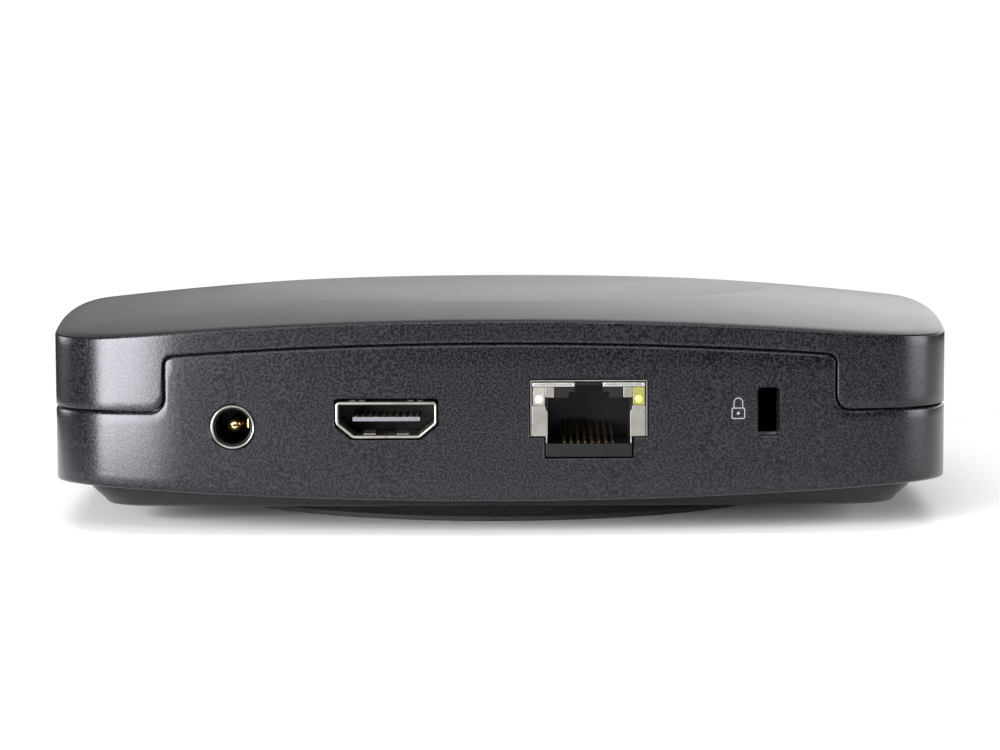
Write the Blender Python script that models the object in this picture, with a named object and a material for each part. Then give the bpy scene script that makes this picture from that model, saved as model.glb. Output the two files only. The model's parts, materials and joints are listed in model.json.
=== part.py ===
"""Streaming media player: a low, domed box with its sockets on the rear panel.

The rear panel faces -Y, the front +Y, the top +Z. The origin is the middle of the
underside, where the rubber foot stands on the table. Units are metres.
"""

import math

import bmesh
import bpy

MM = 0.001

# ---------------------------------------------------------------- driving dimensions

# Plan of the housing: a square with bulging sides and round corners. The rear and front
# faces start to curve towards their corners at EASE_START.
HALF_WIDTH = 70.4 * MM
HALF_DEPTH = 67.0 * MM
REAR_BULGE = 935.0 * MM
SIDE_BULGE = 451.0 * MM
EASE_START = 46.0 * MM
EASE_RADIUS = 60.0 * MM
CORNER_RADIUS = 14.5 * MM

# Domed top with a shallow round dish, and a gently arched underside.
DOME_HEIGHT = 35.35 * MM
DOME_RADIUS = 618.0 * MM
DISH_RADIUS = 45.5 * MM
DISH_DEPTH = 1.6 * MM
ARCH_HEIGHT = 2.4 * MM
ARCH_RADIUS = 777.0 * MM

# Parting line, and the panel that rises from the lower shell into the cover's notch.
PARTING = 18.45 * MM
PARTING_GAP = 0.4 * MM
PANEL_HALF_WIDTH = 48.9 * MM
PANEL_BELOW_CREASE = 3.24 * MM
PANEL_TOP_CORNER = 1.6 * MM
PANEL_FOOT_CORNER = 2.0 * MM

# Wall thicknesses.
COVER_WALL = 2.0 * MM
LIP_INSET = 2.3 * MM
LIP_HEIGHT = 0.9 * MM
SHELL_WALL = 3.3 * MM
FLOOR_TOP = 9.0 * MM
FLOOR_BOTTOM = 7.2 * MM

# Plinth, pedestal and foot.
PLINTH_RECESS_INSET = 8.1 * MM
PLINTH_TOP_INSET = 8.4 * MM
PLINTH_TOP = 6.9 * MM
PLINTH_BOTTOM_INSET = 13.0 * MM
PLINTH_BOTTOM = 2.7 * MM
PLINTH_CORNER = 6.0 * MM
PLINTH_TOP_SPREAD = 1.05
PLINTH_BOTTOM_SPREAD = 1.11
PLINTH_FLOOR = 4.7 * MM
PEDESTAL_RADIUS = 52.0 * MM
PEDESTAL_BOTTOM = 0.9 * MM
FOOT_RADIUS = 50.3 * MM
FOOT_HEIGHT = 1.2 * MM

# Clearances: between neighbours that show, between stacked pieces, around shanks.
GAP = 0.3 * MM
SEAT = 0.1 * MM
SOCKET_GAP = 0.2 * MM

# Main board.
BOARD_TOP = 14.3 * MM
BOARD_BOTTOM = 13.1 * MM
BOARD_HALF_WIDTH = 51.0 * MM
BOARD_REAR = -60.5 * MM
BOARD_FRONT = 57.5 * MM

# Screws: (shank radius, head radius).
CASE_SCREW_X = 45.5 * MM
CASE_SCREW_Y = 43.0 * MM
CASE_SHANK = 1.25 * MM
CASE_HEAD = 2.4 * MM
CASE_HEAD_SEAT = 4.9 * MM
CASE_SCREW_TIP = 16.5 * MM
BOARD_SCREW_X = 46.0 * MM
BOARD_SCREW_Y = 25.0 * MM
BOARD_SHANK = 1.0 * MM
BOARD_HEAD = 1.9 * MM

# Rear sockets: centres along X, heights along Z.
PANEL_FRONT = -66.6 * MM
DC_X = -39.3 * MM
DC_Z = 16.2 * MM
DC_FRONT = -66.0 * MM
DC_RING_RADIUS = 3.31 * MM
DC_BORE_RADIUS = 2.75 * MM
DC_PIN_RADIUS = 1.05 * MM
HDMI_X = -16.7 * MM
HDMI_Z = 17.2 * MM
HDMI_WIDTH = 14.9 * MM
HDMI_HEIGHT = 5.4 * MM
HDMI_CHAMFER_X = 2.55 * MM
HDMI_CHAMFER_Z = 2.1 * MM
HDMI_WALL = 0.5 * MM
HDMI_DEPTH = 11.5 * MM
ETHERNET_X = 13.0 * MM
ETHERNET_TOP = 23.0 * MM
ETHERNET_SIDE_FOOT = 14.75 * MM
ETHERNET_BOTTOM = 11.7 * MM
ETHERNET_HALF_WIDTH = 8.55 * MM
ETHERNET_CHIN_HALF_WIDTH = 6.35 * MM
ETHERNET_DEPTH = 18.0 * MM
ETHERNET_SHEET = 0.3 * MM
PLUG_HALF_WIDTH = 6.0 * MM
PLUG_FLOOR = 13.66 * MM
PLUG_ROOF = 20.42 * MM
PLUG_DEPTH = 13.0 * MM
LATCH_HALF_WIDTH = 2.95 * MM
LATCH_ROOF = 21.25 * MM
CONTACT_PITCH = 1.02 * MM
CONTACT_COUNT = 8
LOCK_X = 39.4 * MM
LOCK_Z = 18.2 * MM
LOCK_WIDTH = 3.3 * MM
LOCK_HEIGHT = 7.2 * MM

# Front controls.
FRONT_Z = 12.2 * MM
BUTTON_X = 24.0 * MM
BUTTON_RADIUS = 3.8 * MM
BUTTON_FACE = 66.4 * MM
BUTTON_TRAVEL = 0.4 * MM
PLUNGER_Z = 11.4 * MM
USB_X = -28.0 * MM
USB_WIDTH = 13.1 * MM
USB_HEIGHT = 5.6 * MM
USB_FACE = 66.3 * MM
USB_DEPTH = 14.0 * MM
LIGHT_RADIUS = 1.2 * MM

# Smoothness of the curved outlines.
REAR_STEPS = 6
EASE_STEPS = 2
CORNER_STEPS = 7
SIDE_STEPS = 5
ROUND_STEPS = 32


# ---------------------------------------------------------------- outlines and heights


def ease_circle():
    """Centre of the curve between the front face and a corner, and the face's lean where it starts."""
    lean = math.asin(EASE_START / REAR_BULGE)
    reach = REAR_BULGE - EASE_RADIUS
    return reach * math.sin(lean), HALF_DEPTH - REAR_BULGE + reach * math.cos(lean), lean


def plan_arcs(inset, corner):
    """The four arcs of a quarter of the plan, from the +X side round to the +Y side.

    Each is (centre x, centre y, radius, start angle, end angle, steps).
    """
    side_x = HALF_WIDTH - SIDE_BULGE
    ease_x, ease_y, lean = ease_circle()
    side_reach = SIDE_BULGE - inset - corner
    ease_reach = EASE_RADIUS - inset - corner
    span = math.hypot(ease_x - side_x, ease_y)
    unit_x = (ease_x - side_x) / span
    unit_y = ease_y / span
    along = (side_reach**2 - ease_reach**2 + span**2) / (2 * span)
    across = math.sqrt(side_reach**2 - along**2)
    corner_x = side_x + along * unit_x - across * unit_y
    corner_y = along * unit_y + across * unit_x
    side_end = math.atan2(corner_y, corner_x - side_x)
    corner_end = math.atan2(corner_y - ease_y, corner_x - ease_x)
    ease_end = math.pi / 2 - lean
    return [
        (side_x, 0.0, SIDE_BULGE - inset, 0.0, side_end, SIDE_STEPS),
        (corner_x, corner_y, corner, side_end, corner_end, CORNER_STEPS),
        (ease_x, ease_y, EASE_RADIUS - inset, corner_end, ease_end, EASE_STEPS),
        (0.0, HALF_DEPTH - REAR_BULGE, REAR_BULGE - inset, ease_end, math.pi / 2, REAR_STEPS),
    ]


def housing_outline(inset, corner=None):
    """Points of the housing's plan, anticlockwise, moved inwards by inset."""
    if corner is None:
        corner = CORNER_RADIUS - inset
    quarter = []
    for x, y, radius, start, end, steps in plan_arcs(inset, corner):
        for step in range(steps):
            angle = start + (end - start) * step / steps
            quarter.append((x + radius * math.cos(angle), y + radius * math.sin(angle)))
    quarter.append((0.0, HALF_DEPTH - inset))
    mirrored = [(-x, y) for x, y in reversed(quarter[:-1])]
    upper = quarter + mirrored
    return upper + [(-x, -y) for x, y in upper[1:-1]]


def plinth_outline(inset, spread, corner=PLINTH_CORNER):
    """The plinth's plan: the housing's, moved inwards, but wider from side to side."""
    return [(x * spread, y) for x, y in housing_outline(inset, corner)]


def circle_like_outline(radius):
    """A circle whose points lie in the same directions as the housing's outline points."""
    points = []
    for x, y in housing_outline(0.0):
        length = math.hypot(x, y)
        points.append((x * radius / length, y * radius / length))
    return points


def blend(first, second, share):
    """Points part of the way from one outline to another."""
    return [
        (a[0] + (b[0] - a[0]) * share, a[1] + (b[1] - a[1]) * share)
        for a, b in zip(first, second)
    ]


def dome(x, y):
    return DOME_HEIGHT - (x * x + y * y) / (2 * DOME_RADIUS)


def dish(x, y):
    share = (x * x + y * y) / DISH_RADIUS**2
    return dome(DISH_RADIUS, 0.0) - DISH_DEPTH * (1 - share)


def arch(x, y):
    return ARCH_HEIGHT + (x * x + y * y) / (2 * ARCH_RADIUS)


def ring(outline, height):
    """Outline points lifted to a height, which is a number or a function of x and y."""
    if callable(height):
        return [(x, y, height(x, y)) for x, y in outline]
    return [(x, y, height) for x, y in outline]


def housing_face(x):
    """Distance of the rear or front face from the middle, at x."""
    if abs(x) < EASE_START:
        return HALF_DEPTH - REAR_BULGE + math.sqrt(REAR_BULGE**2 - x * x)
    ease_x, ease_y, _ = ease_circle()
    return ease_y + math.sqrt(EASE_RADIUS**2 - (abs(x) - ease_x) ** 2)


def arc(centre, radius, start, end, steps):
    """Points on an arc in a plane, from start to end in degrees."""
    points = []
    for step in range(steps + 1):
        angle = math.radians(start + (end - start) * step / steps)
        points.append((centre[0] + radius * math.cos(angle), centre[1] + radius * math.sin(angle)))
    return points


def parting_line(grow):
    """The line between shell and cover, seen from behind, moved towards the cover by grow."""
    half = PANEL_HALF_WIDTH + grow
    base = PARTING + grow
    foot = PANEL_FOOT_CORNER - grow
    top = PANEL_TOP_CORNER + grow

    def top_height(x):
        return dome(x, housing_face(x)) - PANEL_BELOW_CREASE + grow

    shoulder = top_height(half - top) - top
    right = arc((half - top, shoulder), top, 90, 0, 4)
    right += arc((half + foot, base + foot), foot, 180, 270, 4)
    steps = 10
    crown = [(half - top) * (2 * step / steps - 1) for step in range(1, steps)]
    left = [(-x, z) for x, z in reversed(right)]
    return left + [(x, top_height(x)) for x in crown] + right


# ---------------------------------------------------------------- modelling helpers


def make_material(name, colour, roughness, metallic=0.0):
    material = bpy.data.materials.new(name)
    material.use_nodes = True
    shader = material.node_tree.nodes["Principled BSDF"]
    shader.inputs["Base Color"].default_value = (*colour, 1.0)
    shader.inputs["Roughness"].default_value = roughness
    shader.inputs["Metallic"].default_value = metallic
    material.diffuse_color = (*colour, 1.0)
    return material


def add_object(name, vertices, faces, material=None):
    """A mesh object whose faces all point out of the solid."""
    mesh = bpy.data.meshes.new(name)
    shape = bmesh.new()
    corners = [shape.verts.new(point) for point in vertices]
    for face in faces:
        shape.faces.new([corners[index] for index in face])
    bmesh.ops.recalc_face_normals(shape, faces=shape.faces)
    shape.to_mesh(mesh)
    shape.free()
    thing = bpy.data.objects.new(name, mesh)
    bpy.context.scene.collection.objects.link(thing)
    if material:
        mesh.materials.append(material)
    return thing


def loft(name, rings, start=None, end=None, material=None):
    """Joins rings of equal length. Each end is closed by a fan to a point, or by a flat face."""
    count = len(rings[0])
    vertices = [point for one in rings for point in one]
    faces = []
    for level in range(len(rings) - 1):
        low = level * count
        high = low + count
        for index in range(count):
            after = (index + 1) % count
            faces.append((low + index, low + after, high + after, high + index))
    for tip, offset in ((start, 0), (end, (len(rings) - 1) * count)):
        if tip is None:
            faces.append(tuple(range(offset, offset + count)))
            continue
        vertices.append(tip)
        for index in range(count):
            faces.append((offset + index, offset + (index + 1) % count, len(vertices) - 1))
    return add_object(name, vertices, faces, material)


def prism(name, outline, low, high, axis="z", material=None):
    """A flat outline pushed along one axis. Off that axis its points keep their X, Y, Z order."""
    place = {
        "x": lambda u, v, w: (w, u, v),
        "y": lambda u, v, w: (u, w, v),
        "z": lambda u, v, w: (u, v, w),
    }[axis]
    rings = [[place(u, v, w) for u, v in outline] for w in (low, high)]
    return loft(name, rings, material=material)


def rectangle(low, high):
    return [(low[0], low[1]), (high[0], low[1]), (high[0], high[1]), (low[0], high[1])]


def box(name, low, high, material=None):
    return prism(name, rectangle(low, high), low[2], high[2], material=material)


def turned(name, profile, centre, axis="z", steps=ROUND_STEPS, material=None):
    """A solid of revolution. The profile is (radius, distance along the axis) pairs."""
    place = {
        "y": lambda u, v, w: (centre[0] + u, centre[1] + w, centre[2] + v),
        "z": lambda u, v, w: (centre[0] + u, centre[1] + v, centre[2] + w),
    }[axis]
    rings = []
    for radius, along in profile:
        half_step = 180 / steps
        points = arc((0.0, 0.0), radius, half_step, 360 + half_step, steps)[:-1]
        rings.append([place(u, v, along) for u, v in points])
    return loft(name, rings, material=material)


def hide_tool(tool):
    tool.hide_render = True
    tool.display_type = "WIRE"


def apply_tool(target, tool, operation):
    """Cuts the tool out of the target, or joins it on."""
    modifier = target.modifiers.new(tool.name, "BOOLEAN")
    modifier.operation = operation
    modifier.solver = "EXACT"
    modifier.object = tool
    hide_tool(tool)


def cut(target, *tools):
    for tool in tools:
        apply_tool(target, tool, "DIFFERENCE")


def join(target, *tools):
    for tool in tools:
        apply_tool(target, tool, "UNION")


def four_corners(x, y):
    return [(x, y), (-x, y), (-x, -y), (x, -y)]


def screw(name, place, head, shank, seat, tip, head_end, material):
    """A screw along Z. Its head ends at head_end, sits at seat, and its shank ends at tip."""
    edge = 0.3 * MM * (1 if seat > head_end else -1)
    profile = [(head - abs(edge), head_end), (head, head_end + edge), (head, seat)]
    profile += [(shank, seat), (shank, tip)]
    return turned(name, profile, (place[0], place[1], 0.0), steps=16, material=material)


# ---------------------------------------------------------------- parting tools


def space_beyond_parting(name, grow, side):
    """All space on the cover's side (+1) or the shell's side (-1) of the parting line."""
    reach = 100 * MM
    far = PARTING + side * 60 * MM
    line = parting_line(grow)
    outline = [(-reach, PARTING + grow)] + line + [(reach, PARTING + grow), (reach, far), (-reach, far)]
    rear = prism(name, outline, -reach, -50 * MM, axis="y")
    low, high = sorted((PARTING + grow, far))
    front = box(name + "_front", (-reach, -52 * MM, low), (reach, reach, high))
    join(rear, front)
    hide_tool(rear)
    return rear


# ---------------------------------------------------------------- housing


def build_top_cover(material):
    plan = housing_outline(0.0)
    inner = housing_outline(COVER_WALL)
    rim = circle_like_outline(DISH_RADIUS)
    skirt = 12 * MM
    rings = [ring(circle_like_outline(DISH_RADIUS * share), dish) for share in (0.35, 0.65, 0.85)]
    rings.append(ring(rim, dome))
    rings += [ring(blend(rim, plan, share), dome) for share in (0.33, 0.67, 1.0)]
    rings += [ring(plan, skirt), ring(inner, skirt)]
    rings.append(ring(inner, lambda x, y: dome(x, y) - COVER_WALL))
    rings.append(ring(blend(rim, inner, 0.5), lambda x, y: dome(x, y) - COVER_WALL))
    rings.append(ring(rim, lambda x, y: dome(x, y) - COVER_WALL))
    rings.append(ring(circle_like_outline(DISH_RADIUS * 0.6), lambda x, y: dish(x, y) - COVER_WALL))
    centre = dish(0.0, 0.0)
    cover = loft("top_cover", rings, (0, 0, centre), (0, 0, centre - COVER_WALL), material)
    cut(cover, space_beyond_parting("cut_below_cover", PARTING_GAP / 2, -1))
    ceiling = dome(CASE_SCREW_X, CASE_SCREW_Y) - COVER_WALL / 2
    boss_radius = 3.6 * MM
    for number, (x, y) in enumerate(four_corners(CASE_SCREW_X, CASE_SCREW_Y)):
        low = FLOOR_TOP + GAP
        boss = turned(f"boss_{number}", [(boss_radius, low), (boss_radius, ceiling)], (x, y, 0), steps=20)
        join(cover, boss)
        bore = CASE_SHANK + GAP
        depth = CASE_SCREW_TIP + 2 * GAP
        hole = turned(f"boss_bore_{number}", [(bore, low - MM), (bore, depth)], (x, y, 0), steps=16)
        cut(cover, hole)


def ethernet_hole(grow):
    """Outline of the hole for the network socket in the rear panel."""
    wide = ETHERNET_HALF_WIDTH + grow
    narrow = ETHERNET_CHIN_HALF_WIDTH + grow
    step = ETHERNET_SIDE_FOOT - grow
    low = ETHERNET_BOTTOM - grow
    high = ETHERNET_TOP + grow
    corners = [(-narrow, low), (narrow, low), (narrow, step), (wide, step)]
    corners += [(wide, high), (-wide, high), (-wide, step), (-narrow, step)]
    return [(ETHERNET_X + x, z) for x, z in corners]


def hdmi_outline(grow):
    """Outline of the video socket, with its two chamfered lower corners."""
    wide = HDMI_WIDTH / 2 + grow
    high = HDMI_HEIGHT / 2 + grow
    slope = grow * 0.45
    corners = [
        (-wide + HDMI_CHAMFER_X + slope, -high),
        (wide - HDMI_CHAMFER_X - slope, -high),
        (wide, -high + HDMI_CHAMFER_Z + slope),
        (wide, high),
        (-wide, high),
        (-wide, -high + HDMI_CHAMFER_Z + slope),
    ]
    return [(HDMI_X + x, HDMI_Z + z) for x, z in corners]


def panel_cutters(prefix):
    """The tools that open the rear panel for its sockets and the lock slot."""
    outside = -72 * MM
    inside = -58 * MM
    dc = DC_RING_RADIUS + SOCKET_GAP
    lock_low = (LOCK_X - LOCK_WIDTH / 2, outside, LOCK_Z - LOCK_HEIGHT / 2)
    lock_high = (LOCK_X + LOCK_WIDTH / 2, inside, LOCK_Z + LOCK_HEIGHT / 2)
    return [
        turned(prefix + "_dc", [(dc, outside), (dc, inside)], (DC_X, 0, DC_Z), axis="y"),
        prism(prefix + "_hdmi", hdmi_outline(SOCKET_GAP), outside, inside, axis="y"),
        prism(prefix + "_ethernet", ethernet_hole(SOCKET_GAP), outside, inside, axis="y"),
        box(prefix + "_lock", lock_low, lock_high),
    ]


def front_cutters(prefix):
    """The tools that open the front wall for the button, the light and the USB socket."""
    inside = 58 * MM
    outside = 72 * MM
    button = BUTTON_RADIUS + GAP
    light = LIGHT_RADIUS + SOCKET_GAP
    half_width = USB_WIDTH / 2 + SOCKET_GAP
    half_height = USB_HEIGHT / 2 + SOCKET_GAP
    usb_low = (USB_X - half_width, inside, FRONT_Z - half_height)
    usb_high = (USB_X + half_width, outside, FRONT_Z + half_height)
    return [
        turned(prefix + "_button", [(button, inside), (button, outside)], (BUTTON_X, 0, FRONT_Z), axis="y"),
        turned(prefix + "_light", [(light, inside), (light, outside)], (0, 0, FRONT_Z), axis="y", steps=16),
        box(prefix + "_usb", usb_low, usb_high),
    ]


def build_bottom_shell(material):
    plan = housing_outline(0.0)
    inner = housing_outline(SHELL_WALL)
    opening = plinth_outline(PLINTH_RECESS_INSET, PLINTH_TOP_SPREAD)
    wall_top = 45 * MM
    edge = 0.5 * MM
    rings = [ring(opening, FLOOR_BOTTOM), ring(opening, arch), ring(housing_outline(edge), arch)]
    rings.append(ring(plan, lambda x, y: arch(x, y) + edge))
    rings += [ring(plan, wall_top), ring(inner, wall_top), ring(inner, FLOOR_TOP)]
    shell = loft("bottom_shell", rings, (0, 0, FLOOR_BOTTOM), (0, 0, FLOOR_TOP), material)

    cut(shell, *panel_cutters("hole"))
    cut(shell, *front_cutters("hole"))

    sink = FLOOR_TOP - 0.5 * MM
    for number, (x, y) in enumerate(four_corners(BOARD_SCREW_X, BOARD_SCREW_Y)):
        top = BOARD_BOTTOM - SEAT
        post = turned(f"post_{number}", [(2.6 * MM, sink), (2.6 * MM, top)], (x, y, 0), steps=16)
        join(shell, post)
        bore = BOARD_SHANK + SOCKET_GAP
        hole = turned(f"post_bore_{number}", [(bore, FLOOR_TOP + GAP), (bore, top + MM)], (x, y, 0), steps=16)
        cut(shell, hole)
    for number, (x, y) in enumerate(four_corners(CASE_SCREW_X, CASE_SCREW_Y)):
        bore = CASE_SHANK + GAP
        hole = turned(f"floor_bore_{number}", [(bore, 5 * MM), (bore, 11 * MM)], (x, y, 0), steps=16)
        cut(shell, hole)

    outer_layer = space_beyond_parting("cut_outer_layer", -PARTING_GAP / 2, 1)
    core = prism("core_inside_outer_layer", housing_outline(LIP_INSET), -20 * MM, 90 * MM)
    cut(outer_layer, core)
    cut(shell, outer_layer, space_beyond_parting("cut_above_lip", LIP_HEIGHT, 1))


def build_base_plate(material):
    top = plinth_outline(PLINTH_TOP_INSET, PLINTH_TOP_SPREAD)
    mid = plinth_outline(PLINTH_TOP_INSET + 0.3 * MM, PLINTH_TOP_SPREAD)
    bottom = plinth_outline(PLINTH_BOTTOM_INSET, PLINTH_BOTTOM_SPREAD)
    bottom_flat = plinth_outline(PLINTH_BOTTOM_INSET + 0.9 * MM, PLINTH_BOTTOM_SPREAD)
    wall = 2.0 * MM
    inner_top = plinth_outline(PLINTH_TOP_INSET + wall, PLINTH_TOP_SPREAD)
    inner_low = plinth_outline(PLINTH_BOTTOM_INSET + wall, PLINTH_BOTTOM_SPREAD, PLINTH_CORNER - MM)
    recess = FOOT_RADIUS + GAP
    recess_top = FOOT_HEIGHT + GAP
    rings = [
        ring(circle_like_outline(recess), recess_top),
        ring(circle_like_outline(recess), PEDESTAL_BOTTOM),
        ring(circle_like_outline(PEDESTAL_RADIUS - 0.7 * MM), PEDESTAL_BOTTOM),
        ring(circle_like_outline(PEDESTAL_RADIUS), PLINTH_BOTTOM),
        ring(bottom_flat, PLINTH_BOTTOM),
        ring(bottom, PLINTH_BOTTOM + 0.4 * MM),
        ring(mid, PLINTH_TOP - 0.9 * MM),
        ring(top, PLINTH_TOP),
        ring(inner_top, PLINTH_TOP),
        ring(inner_low, PLINTH_FLOOR),
    ]
    plate = loft("base_plate", rings, (0, 0, recess_top), (0, 0, PLINTH_FLOOR), material)
    for number, (x, y) in enumerate(four_corners(CASE_SCREW_X, CASE_SCREW_Y)):
        sink = PLINTH_FLOOR - 0.5 * MM
        boss = turned(f"plate_boss_{number}", [(4 * MM, sink), (4 * MM, PLINTH_TOP)], (x, y, 0), steps=20)
        join(plate, boss)
        head = CASE_HEAD + GAP
        bore = CASE_SHANK + GAP
        profile = [(head, 0.0), (head, CASE_HEAD_SEAT), (bore, CASE_HEAD_SEAT), (bore, 10 * MM)]
        cut(plate, turned(f"plate_bore_{number}", profile, (x, y, 0), steps=20))


def build_rubber_foot(material):
    edge = 0.3 * MM
    profile = [(FOOT_RADIUS - edge, 0.0), (FOOT_RADIUS, edge), (FOOT_RADIUS, FOOT_HEIGHT)]
    turned("rubber_foot", profile, (0, 0, 0), steps=64, material=material)


def build_case_screws(material):
    for number, place in enumerate(four_corners(CASE_SCREW_X, CASE_SCREW_Y), start=1):
        seat = CASE_HEAD_SEAT - SEAT
        head_end = PLINTH_BOTTOM + 0.5 * MM
        screw(f"case_screw_{number}", place, CASE_HEAD, CASE_SHANK, seat, CASE_SCREW_TIP, head_end, material)


# ---------------------------------------------------------------- board and what is on it


def build_main_board(material):
    corner = 3 * MM
    outline = []
    for x, y, start in (
        (BOARD_HALF_WIDTH, BOARD_FRONT, 0),
        (-BOARD_HALF_WIDTH, BOARD_FRONT, 90),
        (-BOARD_HALF_WIDTH, BOARD_REAR, 180),
        (BOARD_HALF_WIDTH, BOARD_REAR, 270),
    ):
        centre = (x - math.copysign(corner, x), y - math.copysign(corner, y))
        outline += arc(centre, corner, start, start + 90, 3)
    board = prism("main_board", outline, BOARD_BOTTOM, BOARD_TOP, material=material)
    low = BOARD_BOTTOM - MM
    high = BOARD_TOP + MM
    past = 3 * MM
    chin = ETHERNET_CHIN_HALF_WIDTH + GAP
    ethernet_back = PANEL_FRONT + ETHERNET_DEPTH + GAP
    jack = 4.5 * MM + GAP
    usb = USB_WIDTH / 2 + GAP
    slots = [
        ("slot_ethernet", ETHERNET_X - chin, ETHERNET_X + chin, BOARD_REAR - past, ethernet_back),
        ("slot_dc", DC_X - jack, DC_X + jack, BOARD_REAR - past, -50.4 * MM),
        ("slot_usb", USB_X - usb, USB_X + usb, USB_FACE - USB_DEPTH - GAP, BOARD_FRONT + past),
    ]
    for name, x_low, x_high, y_low, y_high in slots:
        cut(board, box(name, (x_low, y_low, low), (x_high, y_high, high)))
    holes = [(place, 4.0 * MM) for place in four_corners(CASE_SCREW_X, CASE_SCREW_Y)]
    holes += [(place, BOARD_SHANK + SOCKET_GAP) for place in four_corners(BOARD_SCREW_X, BOARD_SCREW_Y)]
    for number, ((x, y), radius) in enumerate(holes):
        cut(board, turned(f"board_hole_{number}", [(radius, low), (radius, high)], (x, y, 0), steps=20))


def build_board_screws(material):
    for number, place in enumerate(four_corners(BOARD_SCREW_X, BOARD_SCREW_Y), start=1):
        seat = BOARD_TOP + SEAT
        tip = FLOOR_TOP + 2 * GAP
        screw(f"board_screw_{number}", place, BOARD_HEAD, BOARD_SHANK, seat, tip, seat + 1.3 * MM, material)


def chip(name, centre, size, base, material):
    """A block on the board: centre and size in X and Y, and its height."""
    low = (centre[0] - size[0] / 2, centre[1] - size[1] / 2, base)
    high = (centre[0] + size[0] / 2, centre[1] + size[1] / 2, base + size[2])
    return box(name, low, high, material)


def build_electronics(materials):
    base = BOARD_TOP + SEAT
    black = materials["chip_black"]
    core = (0.0, 5 * MM)
    chip("processor", core, (15 * MM, 15 * MM, 1.3 * MM), base, black)
    chip("memory_chip_1", (-17 * MM, 5 * MM), (8 * MM, 11 * MM, MM), base, black)
    chip("memory_chip_2", (17 * MM, 5 * MM), (8 * MM, 11 * MM, MM), base, black)
    chip("flash_chip", (0.0, -12 * MM), (11.5 * MM, 13 * MM, MM), base, black)
    chip("thermal_pad", core, (14 * MM, 14 * MM, MM), base + 1.3 * MM + SEAT, materials["thermal_pad"])
    chip("wifi_module", (26 * MM, 44 * MM), (14 * MM, 12 * MM, 2.2 * MM), base, materials["tin_plate"])
    chip("ethernet_transformer", (ETHERNET_X, -38 * MM), (15 * MM, 7 * MM, 4.5 * MM), base, black)
    chip("power_inductor", (-37 * MM, -41 * MM), (7 * MM, 7 * MM, 3 * MM), base, black)
    can = [(2.9 * MM, 0.0), (3.15 * MM, 0.4 * MM), (3.15 * MM, 7.3 * MM), (2.8 * MM, 7.7 * MM)]
    turned("input_capacitor", can, (-26 * MM, -43 * MM, base), steps=20, material=materials["aluminium"])
    build_heat_sink(base + 1.3 * MM + SEAT + MM + SEAT, materials["aluminium"])


def build_heat_sink(base, material):
    """A comb of upright fins on a flat plate, its fins running front to back."""
    half = 25 * MM
    plate = 2 * MM
    top = base + 9 * MM
    fins = 9
    thickness = 1.2 * MM
    pitch = (2 * half - thickness) / (fins - 1)
    outline = [(-half, base), (half, base)]
    for number in reversed(range(fins)):
        low = -half + number * pitch
        outline += [(low + thickness, top), (low, top)]
        if number:
            outline += [(low, base + plate), (low - pitch + thickness, base + plate)]
    prism("heat_sink", outline, -18 * MM, 28 * MM, axis="y", material=material)


def build_antennas(materials):
    """Two aerials inside the cover's side walls, each with its thin lead to the radio."""
    thickness = 0.8 * MM
    inner_face = HALF_WIDTH - COVER_WALL - 1.3 * MM
    for name, side in (("antenna_left", -1), ("antenna_right", 1)):
        x_low, x_high = sorted((side * inner_face, side * (inner_face - thickness)))
        box(name, (x_low, -18 * MM, 21 * MM), (x_high, 18 * MM, 28 * MM), materials["board_green"])
    feed = inner_face - thickness - 0.9 * MM
    right = [(30, 44, 17.6), (38, 38, 18.5), (50, 24, 22), (60, 10, 24.2)]
    left = [(22, 45, 17.6), (6, 45, 19.5), (-22, 43, 21), (-46, 30, 22.5), (-60, 12, 24.2)]
    for name, route, end in (("antenna_lead_right", right, feed), ("antenna_lead_left", left, -feed)):
        points = [(x * MM, y * MM, z * MM) for x, y, z in route] + [(end, 0.0, 24.5 * MM)]
        build_lead(name, points, 0.57 * MM, materials["cable_black"])


def build_lead(name, points, radius, material):
    """A round lead along a smooth curve through its route's points."""
    steps = 5
    ends = [points[0]] + points + [points[-1]]
    smooth = []
    for index in range(1, len(ends) - 2):
        p0, p1, p2, p3 = ends[index - 1 : index + 3]
        for step in range(steps):
            t = step / steps
            smooth.append(
                tuple(
                    0.5 * (2 * b + (c - a) * t + (2 * a - 5 * b + 4 * c - d) * t**2 + (3 * b - a - 3 * c + d) * t**3)
                    for a, b, c, d in zip(p0, p1, p2, p3)
                )
            )
    smooth.append(points[-1])
    curve = bpy.data.curves.new(name, "CURVE")
    curve.dimensions = "3D"
    curve.bevel_depth = radius
    curve.bevel_resolution = 2
    curve.use_fill_caps = True
    spline = curve.splines.new("POLY")
    spline.points.add(len(smooth) - 1)
    for target, point in zip(spline.points, smooth):
        target.co = (*point, 1.0)
    curve.materials.append(material)
    lead = bpy.data.objects.new(name, curve)
    bpy.context.scene.collection.objects.link(lead)


# ---------------------------------------------------------------- rear sockets


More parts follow.
